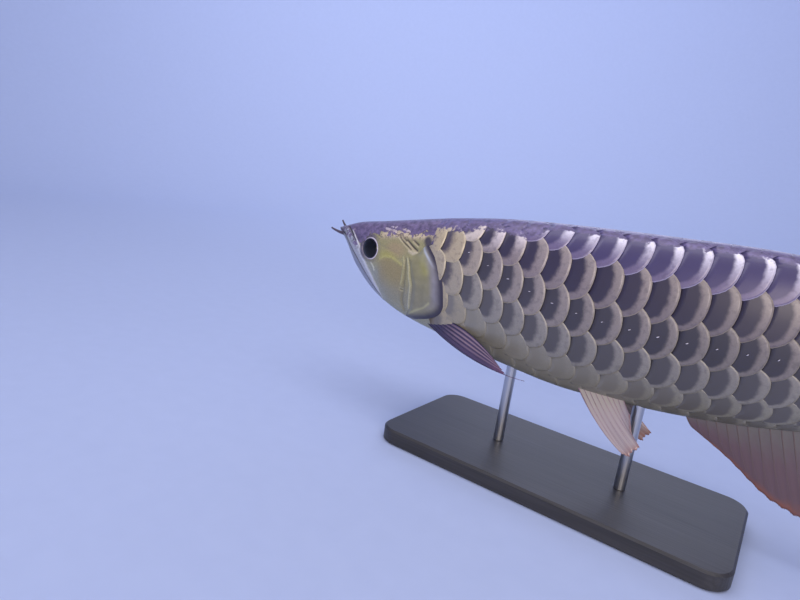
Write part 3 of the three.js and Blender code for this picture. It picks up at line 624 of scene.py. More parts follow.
speck = add_node(tree, "ShaderNodeTexNoise", {"Vector": place, "Scale": 520.0, "Detail": 1.0})
speck_shape = add_node(
    tree, "ShaderNodeMapRange",
    {"Value": speck, "From Min": 0.53, "From Max": 0.58}, interpolation_type="SMOOTHSTEP",
)
speck_mask = add_node(tree, "ShaderNodeMath", {0: near_crown, 1: speck_shape}, operation="MULTIPLY")
specked = add_node(
    tree, "ShaderNodeMix", {0: speck_mask, 6: mottled, 7: "#463A44"}, data_type="RGBA"
)
skin_tone = add_node(
    tree, "ShaderNodeMix", {0: crown_mask, 6: specked, 7: crown_tone}, data_type="RGBA"
)
grain = add_node(tree, "ShaderNodeBump", {"Height": fine, "Strength": 0.35, "Distance": 0.0003})
shade = add_node(
    tree, "ShaderNodeBsdfPrincipled",
    {
        "Base Color": skin_tone, "Roughness": 0.42, "IOR": 1.42, "Coat Weight": 0.35,
        "Coat Roughness": 0.18, "Normal": grain,
    },
)
tree.links.new(shade.outputs[0], output.inputs[0])

skin = new_mesh("fish_skin", skin_points, skin_faces, [wet_skin])
give_colour(skin.data, "paint", whole(1, 3))
give_number(skin.data, "crown", whole(2, 1))
lattice = whole(3, 2)
HEAD_SHARE = 0.55
along = np.interp(lattice[:, 0], [0, HEAD_END, 1], [0.01, HEAD_SHARE, 0.99])
give_map(skin.data, "OFBake", np.stack([along, 0.5 + 0.49 * lattice[:, 1]], -1))
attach(skin, "root")
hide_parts("head", "lower_jaw", "trunk_front", "trunk_middle", "tail")


# The gill covers: a thin bony plate on each cheek, olive gold, with a painted sheen, blue-white and
# lavender-grey, along its rear, and a soft dark violet flap past the bone that is also painted
# shadow along the lower edge. Each lies over the first scales of the shoulder.
COVER_RIM = [[0.1775, -0.0128], [0.1858, -0.0118], [0.1975, -0.0045], [0.2035, 0.0065]]
COVER_RIM += [[0.2085, 0.0105], [0.216, 0.0055], [0.2235, -0.0015], [0.2315, -0.0095]]
COVER_RIM += [[0.2395, -0.0185], [0.2465, -0.0305], [0.251, -0.0425], [0.2545, -0.062]]
COVER_RIM += [[0.2555, -0.0815], [0.2515, -0.0925], [0.2435, -0.1015], [0.2225, -0.1125]]
COVER_RIM += [[0.2033, -0.1185], [0.19, -0.1225], [0.178, -0.1235]]
COVER_TOP, COVER_REAR = COVER_RIM[:5], COVER_RIM[4:]
COVER_FRONT = [[0.1765, -0.0135], [0.1785, -0.0235], [0.1815, -0.035], [0.1832, -0.0495]]
COVER_FRONT += [[0.1873, -0.0636], [0.1857, -0.0762], [0.1835, -0.09], [0.181, -0.1044]]
COVER_FRONT += [[0.172, -0.1185]]
COVER_LINE = [[0.18, -0.1151], [0.1992, -0.1029], [0.2192, -0.0927], [0.2292, -0.0829]]
COVER_GREEN = [[0.2033, -0.0017], [0.2108, -0.0119], [0.215, -0.0225], [0.2192, -0.0332]]
COVER_SHEEN = [[0.2067, 0.0019], [0.2158, -0.0082], [0.225, -0.0175], [0.2333, -0.0263]]
SIDES = {"left": -1, "right": 1}
FLAP_MM = 5.0
COVER_THICK_MM = 0.45
INNER_FACE_MM = 0.75
COVER_ACROSS, COVER_DOWN = 48, 72


def along_line(line, shares):
    """Points at even shares of a smooth line's length."""
    line = np.asarray(line, float)
    knots = np.concatenate([[0], np.hypot(*np.diff(line, axis=0).T).cumsum()])
    fine = np.linspace(0, knots[-1], 400)
    table = np.column_stack([knots, line])
    smooth = np.column_stack([smooth_curve(table, 1)(fine), smooth_curve(table, 2)(fine)])
    run = np.concatenate([[0], np.hypot(*np.diff(smooth, axis=0).T).cumsum()])
    return np.column_stack([np.interp(shares * run[-1], run, smooth[:, c]) for c in (0, 1)])


def round_border(number):
    """Each pair of neighbours round the border of a grid of point numbers."""
    border = [*number[:, 0], *number[-1, 1:], *number[-2::-1, -1], *number[0, -2:0:-1]]
    return zip(border, border[1:] + border[:1])


# The cover's bone and skin: as the cheek, but smoother and pearly, so its rear edge catches light.
pearly_skin, tree, output = new_material("pearly fish skin")
place = add_node(tree, "ShaderNodeTexCoord").outputs["Object"]
painted = add_node(tree, "ShaderNodeAttribute", attribute_name="paint")
cloud = add_node(tree, "ShaderNodeTexNoise", {"Vector": place, "Scale": 160.0, "Detail": 4.0})
fine = add_node(tree, "ShaderNodeTexNoise", {"Vector": place, "Scale": 1000.0, "Detail": 2.0})
depth = add_node(
    tree, "ShaderNodeMapRange",
    {"Value": cloud, "From Min": 0.3, "From Max": 0.75, "To Min": 0.86, "To Max": 1.1},
)
clouded = add_node(
    tree, "ShaderNodeMix", {0: 1.0, 6: painted, 7: depth}, data_type="RGBA", blend_type="MULTIPLY"
)
grain = add_node(tree, "ShaderNodeBump", {"Height": fine, "Strength": 0.25, "Distance": 0.0002})
shade = add_node(
    tree, "ShaderNodeBsdfPrincipled",
    {
        "Base Color": clouded, "Roughness": 0.42, "Metallic": 0.08, "Coat Weight": 0.3,
        "Coat Roughness": 0.25, "Normal": grain,
    },
)
tree.links.new(shade.outputs[0], output.inputs[0])

for name, side in SIDES.items():
    shares = np.linspace(0, 1, COVER_DOWN + 1)
    rim, front = along_line(COVER_RIM, shares), along_line(COVER_FRONT, shares)
    reach = np.linspace(0, 1, COVER_ACROSS + 1)[:, None, None]
    flat = front[None] * (1 - reach) + rim[None] * reach
    x, z = flat[..., 0], flat[..., 1]
    from_rear, from_top = distance_mm(x, z, COVER_REAR), distance_mm(x, z, COVER_TOP)
    swell = soft_step(0, 0.25, reach[..., 0]) * soft_step(0, 6, from_top)
    on_line = distance_mm(x, z, COVER_LINE)
    top_lift = -0.5 + 1.9 * swell + 0.5 * np.sin(np.pi * reach[..., 0]) * swell
    top_lift = top_lift + 0.35 * bell(on_line, 0.8)
    top_lift = top_lift - 0.8 * soft_step(FLAP_MM + 2, 0, from_rear) * swell
    upper_face = flank_point(x, z, side, top_lift)
    lower_face = flank_point(x, z, side, np.minimum(top_lift, INNER_FACE_MM) - COVER_THICK_MM)
    count = upper_face.shape[0] * upper_face.shape[1]
    number = np.arange(count).reshape(upper_face.shape[:2])
    faces = []
    for i in range(COVER_ACROSS):
        for j in range(COVER_DOWN):
            quad = [number[i, j], number[i, j + 1], number[i + 1, j + 1], number[i + 1, j]]
            faces.append(quad if side < 0 else quad[::-1])
            under = [value + count for value in quad]
            faces.append(under[::-1] if side < 0 else under)
    for a, b in round_border(number):
        quad = [a, b, b + count, a + count]
        faces.append(quad[::-1] if side > 0 else quad)
    cover_points = np.concatenate([upper_face.reshape(-1, 3), lower_face.reshape(-1, 3)])
    cover = new_mesh(f"gill_cover_plate_{name}", cover_points, faces, [pearly_skin])
    tone = np.ones((*x.shape, 3)) * paint_of("#8A8664")
    lay(tone, soft_step(8, 1, from_top), "#938F69")
    lay(tone, soft_step(-0.03, -0.08, z) * 0.6, "#7A786A")
    lay(tone, soft_step(-0.09, -0.115, z) * 0.7, "#8A8A74")
    # Painted sheen: a lavender-grey zone inside the rear rim.
    lay(tone, soft_step(14, 7, from_rear) * soft_step(-0.105, -0.07, z) * 0.75, "#858394")
    lay(tone, bell(distance_mm(x, z, COVER_GREEN), 4.2) * 0.55, "#A09E5A")
    lay(tone, bell(on_line, 0.9) * 0.5, "#B8B88A")
    lay(tone, bell(distance_mm(x, z, RIDGE), 0.8) * 0.6, "#BCBB9C")
    # The dark margin: the flap's own dark violet, and along the lower edge painted shadow under the
    # cover.
    narrow = np.interp(z, [-0.09, -0.05, -0.01, 0.01], [1.0, 1.0, 0.7, 0.5])
    lay(tone, soft_step(FLAP_MM * 1.6, 1.2, from_rear / narrow), "#322D3E")
    # Painted highlight: a blue-white sheen along the upper rear rim.
    sheen = bell(distance_mm(x, z, COVER_SHEEN), 0.9) * soft_step(-0.03, -0.008, z)
    lay(tone, sheen * 0.65, "#B8C4D8")
    give_colour(cover.data, "paint", np.concatenate([tone.reshape(-1, 3)] * 2))
    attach(cover, "root")
    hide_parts(f"gill_cover_{name}")


# The scales: large, thin, horny plates in slanting rows from the back to the belly. Each is rooted
# under the scales before and above it and ends in a rounded rear edge that stands off the skin.
COLUMNS = 26
COLUMN_STEP = 0.0352
COLUMN_SHRINK = 0.00047
COLUMN_STEADY = 8
FIRST_COLUMN = 0.243
ROW_SLANT = 0.285
LATERAL_ROW = 3
SHOULDER = 0.25
SHOULDER_FADE = 0.11
# Each row's turn, from the back to the belly: along the body, and just behind the head.
ROWS = [(0.17, 0.016), (0.36, 0.08), (0.552, 0.215), (0.708, 0.41), (0.85, 0.6), (0.95, 0.78)]
KEEL_ROW = 7
SCALE_LIFT_MM = 1.0
SCALE_THICK_MM = 0.3
FULL_ROW_MM = 20
LEAST_ROW_MM = 4.5
# The rear edge of a scale from its upper end to its lower, in columns and rows from its tip.
REAR_EDGE = [[-0.8, -0.62], [-0.435, -0.47], [-0.13, -0.28], [-0.015, -0.08], [0, 0.1]]
REAR_EDGE += [[-0.03, 0.3], [-0.13, 0.53], [-0.31, 0.7], [-0.56, 0.81], [-0.8, 0.87], [-1.08, 0.86]]
# Its hidden front edge, then half of both edges for a scale of the back or the keel.
FRONT_EDGE = [[-1.12, -0.5], [-1.3, -0.3], [-1.36, 0.1], [-1.34, 0.5], [-1.26, 0.74]]
HALF_EDGE = [[0, 0], [-0.01, 0.15], [-0.03, 0.3], [-0.13, 0.53], [-0.31, 0.7], [-0.56, 0.81]]
HALF_EDGE += [[-0.8, 0.87], [-1.08, 0.86]]
HALF_FRONT = [[-1.36, 0], [-1.35, 0.3], [-1.3, 0.55], [-1.24, 0.74]]
EDGE_POINTS = 15
DEPTH_SHARES = [0.0, 0.08, 0.2, 0.36, 0.6, 1.0]
# The looks of each row, from the back down: the pale rim at its upper and at its lower end, the
# dark middle, partly the scale's own colour and partly painted shade under the scales before and
# above it, the fine rear edge, how far the rim reaches in from behind, in columns, and from
# below, in rows, the share of the full lift, and the share of its brightness left at the tail.
SCALE_LOOKS = [
    ("#6A6090", "#5E5480", "#5A5078", "#5E5480", 0.4, 0.25, 0.12, 0.62),
    # The first row: white crescents, partly pale rim and partly painted sheen from the light above.
    ("#F0ECFA", "#6E6384", "#463E66", "#C4BED8", 0.38, 0.5, 0.9, 0.85),
    ("#A59A96", "#7F757C", "#383248", "#B5AA96", 0.42, 0.25, 1, 0.62),
    ("#968D8C", "#8A8383", "#413E49", "#ABA48E", 0.42, 0.25, 1, 0.62),
    ("#8C8886", "#84827F", "#514F54", "#9E9A88", 0.42, 0.24, 0.9, 0.8),
    ("#87857E", "#85837A", "#5A585A", "#8F8D84", 0.42, 0.24, 0.45, 0.8),
    ("#84827A", "#807E74", "#66645F", "#84827A", 0.4, 0.24, 0.15, 0.8),
    ("#807E74", "#7E7C6C", "#7C7A70", "#7E7C6C", 0.4, 0.24, 0.1, 0.8),
]
# Where that darkening starts and ends, and where the flecks of the back start.
TAIL_SHADE = (0.31, 0.66)
FLECKS_FROM = 0.58
# Near the gill covers the scales are beige with wider rims, most of all in the upper rows.
BEIGE = {"rim": "#BAAC8E", "middle": "#4E4654", "edge": "#D2C8A2", "reach": 0.22}
BEIGE_FADE = (0.345, 0.255)
BEIGE_SHARE = {"upper": 0.85, "lower": 0.5}
UPPER_ROWS = 4
# Rims grow narrower towards the tail. The first row's rims are white crescents, their pale
# colour whitened further by painted sheen from the light above, and the second row has whitish
# tips where the back's violet ends over it.
SLIM = {"by": 0.3, "from": 0.36, "to": 0.6}
CRESCENT_ROW = 1
TIPPED_ROW = 2
TIP_WHITE = "#E4DADF"
# The lowest rows hardly show forward of the belly fins: how strong their dark middles are.
FAINT = {"rows": 5, "share": [0.15, 1.0], "from": 0.48, "to": 0.7}
# The lower edge of the back's dark violet, in rows from mid-back, along the fish.
BAND_EDGE = [[0.2, 2.75], [0.25, 2.7], [0.275, 2.5], [0.3, 2.03], [0.345, 1.85], [0.378, 1.75]]
BAND_EDGE += [[0.392, 1.3], [0.405, 1.1], [0.437, 1.0], [0.47, 0.9], [0.54, 0.8], [0.64, 0.7]]
BAND_EDGE += [[0.75, 0.65], [1, 0.6]]
# Where the violet of the nape ends on the first scales of the shoulder, as z and x.
SHOULDER_EDGE = [[-0.0048, 0.2319], [0.0035, 0.2236], [0.0145, 0.2177], [0.026, 0.2159]]
SHOULDER_EDGE += [[0.04, 0.2159]]
SHOULDER_END = 0.27
SHOULDER_FLOOR = -0.0048
# The first tip of each row, and the heights between which a gill cover hides the first scales.
FIRST_TIP = [0.205, 0.22, 0.22, 0.235, 0.25, 0.26, 0.27, 0.24]
LAST_TIP = 1.004
COVERED = (-0.118, 0.0105)
BEHIND_COVER = 0.001
# How many columns before its tip a scale meets the skin, how far off the skin it lies under the
# violet and past it, and how far it sinks in front of the shoulder's edge.
SCALE_ROOT = 1.3
FLAT_MM, FREE_MM = 0.06, 0.09
SUNK_MM = 0.9
# How far each scale's place in columns, its lift and its brightness are drawn apart.
WANDER, UNEVEN, UNLIKE = 0.03, 0.1, 0.04
# The part of a scale's cell of the unwrap that its top fills.
CELL_START, CELL_SIZE = (0.04, 0.16), (0.92, 0.8)


def row_turn(row, x):
    """How far round the flank a row lies at x, for whole rows and between them."""
    fade = np.exp(-np.maximum(0, x - SHOULDER) / SHOULDER_FADE)
    turns = [np.zeros_like(x), *[body * (front / body) ** fade for body, front in ROWS]]
    turns = np.stack([*turns, np.ones_like(x)])
    row = np.broadcast_to(np.asarray(row, float), x.shape)
    i = np.clip(np.floor(row).astype(int), 0, len(ROWS))
    low = np.take_along_axis(turns, i[None], 0)[0]
    high = np.take_along_axis(turns, i[None] + 1, 0)[0]
    return low + (high - low) * (row - i)


def column_x(column):
    """Where a column of scales lies along the fish. The last ones grow narrower."""
    late = np.maximum(0, column - COLUMN_STEADY)
    return FIRST_COLUMN + COLUMN_STEP * column - COLUMN_SHRINK * late * late


def both_ways(line):
    """A line from the middle out, mirrored to run from one side to the other."""
    mirrored = [[c, -row] for c, row in line[:0:-1]]
    return mirrored + line


def scale_plate(rear_edge, front_edge, has_lower):
    """One scale's grid, and how far its points are from its edge, from behind and from below, all
    in columns and rows from the tip. A scale with no lower edge has nothing below it."""
    shares = np.linspace(0, 1, EDGE_POINTS)
    rear, front = along_line(rear_edge, shares), along_line(front_edge, shares)
    depth = np.array(DEPTH_SHARES)[:, None, None]
    grid = rear[None] * (1 - depth) + front[None] * depth
    edge = along_line(rear_edge, np.linspace(0, 1, 200))
    gaps = grid[..., None, :] - edge
    inward = np.hypot(gaps[..., 0], gaps[..., 1] * 1.05).min(-1)
    lower = edge[np.argmax(edge[:, 0]) :] if has_lower else edge
    behind = np.interp(grid[..., 1], edge[:, 1], edge[:, 0]) - grid[..., 0]
    below = np.interp(-grid[..., 0], -lower[:, 0], lower[:, 1]) - grid[..., 1]
    return grid, inward, behind, below if has_lower else np.full(inward.shape, 9.0)


# Faces of one scale with a place for each corner in its cell of the unwrap: the top fills the
# cell, and the edge and the underside share a strip below it.
levels, across = len(DEPTH_SHARES), EDGE_POINTS
under = levels * across
scale_faces, scale_corners = [], []
for j in range(across - 1):
    edge = [(j, 0.02), (j + 1, 0.02), (j + 1, 0.05), (j, 0.05)]
    inner = [(j, 0.06), (j + 1, 0.06), (j + 1, 0.1), (j, 0.1)]
    front_row = (levels - 1) * across + j
    scale_faces.append([j, j + 1, under + j + 1, under + j])
    scale_corners.append([(place / (across - 1), v) for place, v in edge])
    scale_faces.append([under + j, under + j + 1, front_row + 1, front_row])
    scale_corners.append([(place / (across - 1), v) for place, v in inner])
    for i in range(levels - 1):
        a = i * across + j
        scale_faces.append([a, a + across, a + across + 1, a + 1])
        scale_corners.append([None] * 4)
for j, foot in ((0, under), (across - 1, under + across - 1)):
    for i in range(levels - 1):
        a, b = i * across + j, (i + 1) * across + j
        scale_faces.append([foot, b, a] if j == 0 else [foot, a, b])
        scale_corners.append([(0.02 + 0.1 * i, 0.11), (0.1 + 0.1 * i, 0.11), (0.1 * i, 0.115)])


def scale_coat(name, side, rows, columns, finish):
    """One piece of the coat: scales of some rows and columns on one flank, or down the middle."""
    draws = np.random.default_rng(100 * rows[0] + columns[0] + 7)
    points, faces, cells, spots, first = [], [], [], [], 0
    numbers = {"inward": [], "past": [], "band": []}
    tones = {"rim": [], "middle": [], "edge": []}
    for row in rows:
        *texts, reach_in, reach_up, row_lift, at_tail = SCALE_LOOKS[row]
        upper_rim, lower_rim, row_middle, row_edge = (paint_of(text) for text in texts)
        middle = row in (0, KEEL_ROW)
        edges = (both_ways(HALF_EDGE), both_ways(HALF_FRONT)) if middle else (REAR_EDGE, FRONT_EDGE)
        grid, inward, behind, below = scale_plate(*edges, not middle)
        down = np.clip((grid[..., 1] + 0.62) / 1.48, 0, 1)[..., None]
        for column in columns:
            wander, height, tint = draws.uniform(-1, 1, 3)
            shift = column + ROW_SLANT * (row - LATERAL_ROW) + WANDER * wander
            x = column_x(shift + grid[..., 0])
            tip_x = column_x(np.array([shift]))
            row_floor = row_turn(min(row + 0.5, KEEL_ROW), tip_x)[0]
            tall = row_floor - row_turn(max(0, row - 0.5), tip_x)[0]
            tall = tall * np.interp(tip_x[0], TABLE_X, girth) * LENGTH * 1000 * (2 if middle else 1)
            if tall < LEAST_ROW_MM or not FIRST_TIP[row] < tip_x[0] < LAST_TIP:
                continue
            if middle:
                bent = np.abs(grid[..., 1])
                turn = np.sign(grid[..., 1]) * row_turn(bent if row == 0 else row - bent, x)
                turn = np.where(grid[..., 1] == 0, 1.0 if row else 0.0, turn)
            else:
                turn = side * row_turn(row + grid[..., 1], x)
            tip_z = looked_up(body_z, tip_x, row_turn(row, tip_x))[0]
            rim_x = np.interp(-tip_z, *(np.array(COVER_REAR)[:10, [1, 0]] * [-1, 1]).T)
            if COVERED[0] < tip_z < COVERED[1] and tip_x[0] < rim_x + BEHIND_COVER and not middle:
                continue

            level = np.abs(grid[..., 1]) if row == 0 else row + grid[..., 1]
            band = level - np.interp(x, *np.array(BAND_EDGE).T)
            ahead = np.ones(x.shape)
            if tip_x[0] < SHOULDER_END and row < UPPER_ROWS:
                height_z = looked_up(body_z, x, turn)
                ahead = x - np.interp(height_z, *np.array(SHOULDER_EDGE).T)
                ahead = np.where(height_z > SHOULDER_FLOOR, ahead, 1)
                band = np.minimum(band, 25 * ahead)
            lean = np.clip(1 + grid[..., 0] / SCALE_ROOT, 0.02, 1)
            rise = lean + (0 if middle else 0.15 * grid[..., 1] * lean)
            full = SCALE_LIFT_MM * row_lift * min(1, tall / FULL_ROW_MM) * (1 + UNEVEN * height)
            bare = np.zeros(x.shape) if row == 0 else soft_step(-0.15, 0.1, band)
            lift = FLAT_MM + FREE_MM * bare + full * rise * (0.1 + 0.9 * bare)
            band = band * (0.45 + 0.55 * soft_step(0.3, 0.42, x))
            lift[0] -= min(0.2, 0.3 * full)
            lift = lift * soft_step(0.19, 0.225, x)
            lift = lift - (lift + SUNK_MM) * soft_step(0.001, -0.004, ahead)
            top = skin_point(x, turn, lift)
            rear_under = skin_point(x[0], turn[0], lift[0] - SCALE_THICK_MM)
            points.append(np.concatenate([top.reshape(-1, 3), rear_under]))
            low, high = grid.reshape(-1, 2).min(0), grid.reshape(-1, 2).max(0)
            local = (grid.reshape(-1, 2) - low) / (high - low)
            cell = np.array([column - columns[0], row - rows[0]], float)
            flip = side > 0 and not middle
            for face, corners in zip(scale_faces, scale_corners):
                places = [
                    local[v] * CELL_SIZE + CELL_START if place is None else place
                    for v, place in zip(face, corners)
                ]
                order = slice(None, None, -1) if flip else slice(None)
                faces.append([first + v for v in face][order])
                cells += [(np.array(p) + cell) / (len(columns), len(rows)) for p in places[order]]
            first += len(points[-1])

            crescent = row == CRESCENT_ROW
            beige = 0.0 if middle else float(soft_step(*BEIGE_FADE, tip_x[0]))
            slim = 1 - SLIM["by"] * float(soft_step(SLIM["from"], SLIM["to"], tip_x[0]))
            reach_rear = (reach_in + BEIGE["reach"] * beige) * slim
            taper = (0.75 if crescent else 0.33) * np.clip(grid[..., 0], -1.1, 0)
            reach_low = reach_up * (1 + taper) * (1 + 0.5 * beige)
            past = np.minimum(behind / reach_rear, below / (reach_low * slim))
            shade = np.interp(tip_x[0], TAIL_SHADE, [1.0, at_tail]) * (1 + UNLIKE * tint)
            mix = beige * BEIGE_SHARE["upper" if row < UPPER_ROWS else "lower"]
            mix = mix * (soft_step(0.31, 0.26, tip_x[0]) if crescent else 1)
            lowered = soft_step(0.2, 0.85, down) if crescent else down
            pale, dark = upper_rim * (1 - lowered) + lower_rim * lowered, row_middle
            if row == TIPPED_ROW:
                near = soft_step(0.45, 0.05, band) * soft_step(0.4, 0.36, x) * 0.7
                pale = pale + (paint_of(TIP_WHITE) - pale) * near[..., None]
            if row >= FAINT["rows"]:
                clear = np.interp(tip_x[0], [FAINT["from"], FAINT["to"]], FAINT["share"])
                dark = pale * (1 - clear) + dark * clear
            for part, plain in {"rim": pale, "middle": dark, "edge": row_edge}.items():
                tone = plain * (1 - mix) + paint_of(BEIGE[part]) * mix
                tone = np.broadcast_to(tone * shade, (*x.shape, 3))
                tones[part].append(np.concatenate([tone.reshape(-1, 3), tone[0]]))
            for part, values in (("inward", inward), ("past", past), ("band", band)):
                numbers[part].append(np.concatenate([values.ravel(), values[0]]))
            place = np.concatenate([grid.reshape(-1, 2), grid[0]])
            spots.append(np.column_stack([place, np.full(len(place), tip_x[0])]))
    coat = new_mesh(name, np.concatenate(points), faces, [finish])
    for part, values in tones.items():
        give_colour(coat.data, part, np.concatenate(values))
    for part, values in numbers.items():
        give_number(coat.data, part, np.concatenate(values))
    if rows == [0]:
        layer = coat.data.attributes.new("spot", "FLOAT_VECTOR", "POINT")
        layer.data.foreach_set("vector", np.concatenate(spots).ravel())
    coat.data.uv_layers.new(name="OFBake").data.foreach_set("uv", np.array(cells).ravel())
    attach(coat, "root")
    return coat


# Horn with a pearly layer under it: a pale rim behind and below a dark middle that is partly
# painted shade under the scales before and above it, a thin bright edge, ragged dark violet
# where the back's colour runs over it, and growth rings parallel to the edge.
# Towards the tail each scale of the back carries two tiny white flecks.
pearly_horn, tree, output = new_material("pearly scale horn")
place = add_node(tree, "ShaderNodeTexCoord").outputs["Object"]
inward, past, band = (
    add_node(tree, "ShaderNodeAttribute", attribute_name=name).outputs["Fac"]
    for name in ("inward", "past", "band")
)
rim, middle, edge = (
    add_node(tree, "ShaderNodeAttribute", attribute_name=name) for name in ("rim", "middle", "edge")
)
blotch = add_node(tree, "ShaderNodeTexNoise", {"Vector": place, "Scale": 260.0, "Detail": 4.0})
mottle = add_node(tree, "ShaderNodeTexNoise", {"Vector": place, "Scale": 300.0, "Detail": 4.0})
freckles = add_node(tree, "ShaderNodeTexNoise", {"Vector": place, "Scale": 1100.0, "Detail": 2.0})
# The dark middle shows away from the rim, partly the scale's colour and partly painted shade.
past_rim = add_node(tree, "ShaderNodeMath", {0: blotch, 1: 0.6, 2: past}, operation="MULTIPLY_ADD")
middle_mask = add_node(
    tree, "ShaderNodeMapRange",
    {"Value": past_rim, "From Min": 1.08, "From Max": 1.75}, interpolation_type="SMOOTHSTEP",
)
grained = add_node(
    tree, "ShaderNodeMapRange",
    {"Value": freckles, "From Min": 0.3, "From Max": 0.7, "To Min": 0.92, "To Max": 1.06},
)
stain = add_node(
    tree, "ShaderNodeMapRange",
    {"Value": mottle, "From Min": 0.5, "From Max": 0.3, "To Max": 0.3},
    interpolation_type="SMOOTHSTEP",
)
stained = add_node(tree, "ShaderNodeMix", {0: stain, 6: rim, 7: middle}, data_type="RGBA")
pale = add_node(
    tree, "ShaderNodeMix", {0: 1.0, 6: stained, 7: grained}, data_type="RGBA", blend_type="MULTIPLY"
)
body_tone = add_node(tree, "ShaderNodeMix", {0: middle_mask, 6: pale, 7: middle}, data_type="RGBA")
edge_mask = add_node(
    tree, "ShaderNodeMapRange",
    {"Value": inward, "From Min": 0.04, "From Max": 0.01, "To Max": 0.6},
    interpolation_type="SMOOTHSTEP",
)
edged = add_node(tree, "ShaderNodeMix", {0: edge_mask, 6: body_tone, 7: edge}, data_type="RGBA")
ragged = add_node(tree, "ShaderNodeMath", {0: mottle, 1: 0.5, 2: band}, operation="MULTIPLY_ADD")
band_mask = add_node(
    tree, "ShaderNodeMapRange",
    {"Value": ragged, "From Min": 0.29, "From Max": 0.21}, interpolation_type="SMOOTHSTEP",
)
violet_cloud = add_node(
    tree, "ShaderNodeMapRange", {"Value": mottle, "From Min": 0.35, "From Max": 0.68}
)
violet = add_node(
    tree, "ShaderNodeMix", {0: violet_cloud, 6: "#504668", 7: "#6E6290"}, data_type="RGBA"
)
scale_tone = add_node(tree, "ShaderNodeMix", {0: band_mask, 6: edged, 7: violet}, data_type="RGBA")
spot = add_node(tree, "ShaderNodeAttribute", attribute_name="spot").outputs["Vector"]
folded = add_node(tree, "ShaderNodeVectorMath", {0: spot}, operation="ABSOLUTE")
from_fleck = add_node(
    tree, "ShaderNodeVectorMath",
    {0: folded, 1: (11.0, 18.0, 0.0), 2: (-1.65, -9.9, 0.0)}, operation="MULTIPLY_ADD",
)
fleck_size = add_node(tree, "ShaderNodeVectorMath", {0: from_fleck}, operation="LENGTH")
fleck = add_node(
    tree, "ShaderNodeMapRange",
    {"Value": fleck_size, "From Min": 1.1, "From Max": 0.5}, interpolation_type="SMOOTHSTEP",
)
parts = add_node(tree, "ShaderNodeSeparateXYZ", {0: spot})
late = add_node(
    tree, "ShaderNodeMath", {0: parts.outputs["Z"], 1: FLECKS_FROM}, operation="GREATER_THAN"
)
fleck_mask = add_node(tree, "ShaderNodeMath", {0: fleck, 1: late}, operation="MULTIPLY")
flecked = add_node(
    tree, "ShaderNodeMix", {0: fleck_mask, 6: scale_tone, 7: "#E9E6F4"}, data_type="RGBA"
)
rings = add_node(tree, "ShaderNodeMath", {0: inward, 1: 150.0}, operation="MULTIPLY")
ring_wave = add_node(tree, "ShaderNodeMath", {0: rings}, operation="SINE")
ring_height = add_node(
    tree, "ShaderNodeMath", {0: ring_wave, 1: 0.2, 2: freckles}, operation="MULTIPLY_ADD"
)
growth = add_node(
    tree, "ShaderNodeBump", {"Height": ring_height, "Strength": 0.2, "Distance": 0.0002}
)
shade = add_node(
    tree, "ShaderNodeBsdfPrincipled",
    {
        "Base Color": flecked, "Roughness": 0.42, "Metallic": 0.1, "Coat Weight": 0.3,
        "Coat Roughness": 0.22, "Normal": growth,
    },
)
tree.links.new(shade.outputs[0], output.inputs[0])

FLANK_ROWS = [1, 2, 3, 4, 5, 6]
THIRDS = {"front": range(-2, 8), "middle": range(8, 16), "rear": range(16, COLUMNS)}
for third, columns in THIRDS.items():
    for name, side in SIDES.items():
        scale_coat(f"scales_{third}_{name}", side, FLANK_ROWS, columns, pearly_horn)
scale_coat("scales_back", 1, [0], range(2, COLUMNS), pearly_horn)
scale_coat("scales_keel", 1, [KEEL_ROW], range(0, COLUMNS), pearly_horn)


# The pores of the lateral line: one on each scale of its row, a pale raised lip of skin round a
# low bead, a few millimetres long, set on the scale's dark middle.
PORE_LENGTH = 1.1 / 1000
PORE_LIP = 0.3 / 1000
PORE_PLACE = (-0.7, 0.14)
PORES_FROM, PORES_TO = 0.262, 0.97
PORE_LIFT_MM = 0.15


def new_nodes(name, inputs):
    """A tree of geometry nodes with named inputs, and its two ends."""
    tree = bpy.data.node_groups.new(name, "GeometryNodeTree")
    tree.interface.new_socket("Geometry", in_out="INPUT", socket_type="NodeSocketGeometry")
    for label, kind in inputs.items():
        tree.interface.new_socket(label, in_out="INPUT", socket_type=kind)
    tree.interface.new_socket("Geometry", in_out="OUTPUT", socket_type="NodeSocketGeometry")
    return tree, tree.nodes.new("NodeGroupInput"), tree.nodes.new("NodeGroupOutput")


def grown(holder, tree, values, name):
    """The mesh that a tree makes of a holder, as a plain object in the holder's place."""
    modifier = holder.modifiers.new("grow", "NODES")
    modifier.node_group = tree
    for item in tree.interface.items_tree:
        if item.item_type == "SOCKET" and item.in_out == "INPUT" and item.name in values:
            modifier[item.identifier] = values[item.name]
    seen = holder.evaluated_get(bpy.context.evaluated_depsgraph_get())
    made = bpy.data.objects.new(name, bpy.data.meshes.new_from_object(seen))
    bpy.data.objects.remove(holder)
    bpy.context.scene.collection.objects.link(made)
    return made


def closed_tree(tree, last, finish_socket, end):
    """Ends a tree in smooth shading, real meshes and its material."""
    smooth = add_node(tree, "GeometryNodeSetShadeSmooth", {"Geometry": last})
    real = add_node(tree, "GeometryNodeRealizeInstances", {"Geometry": smooth})
    dressed = add_node(
        tree, "GeometryNodeSetMaterial", {"Geometry": real, "Material": finish_socket}
    )
    tree.links.new(dressed.outputs[0], end.inputs[0])


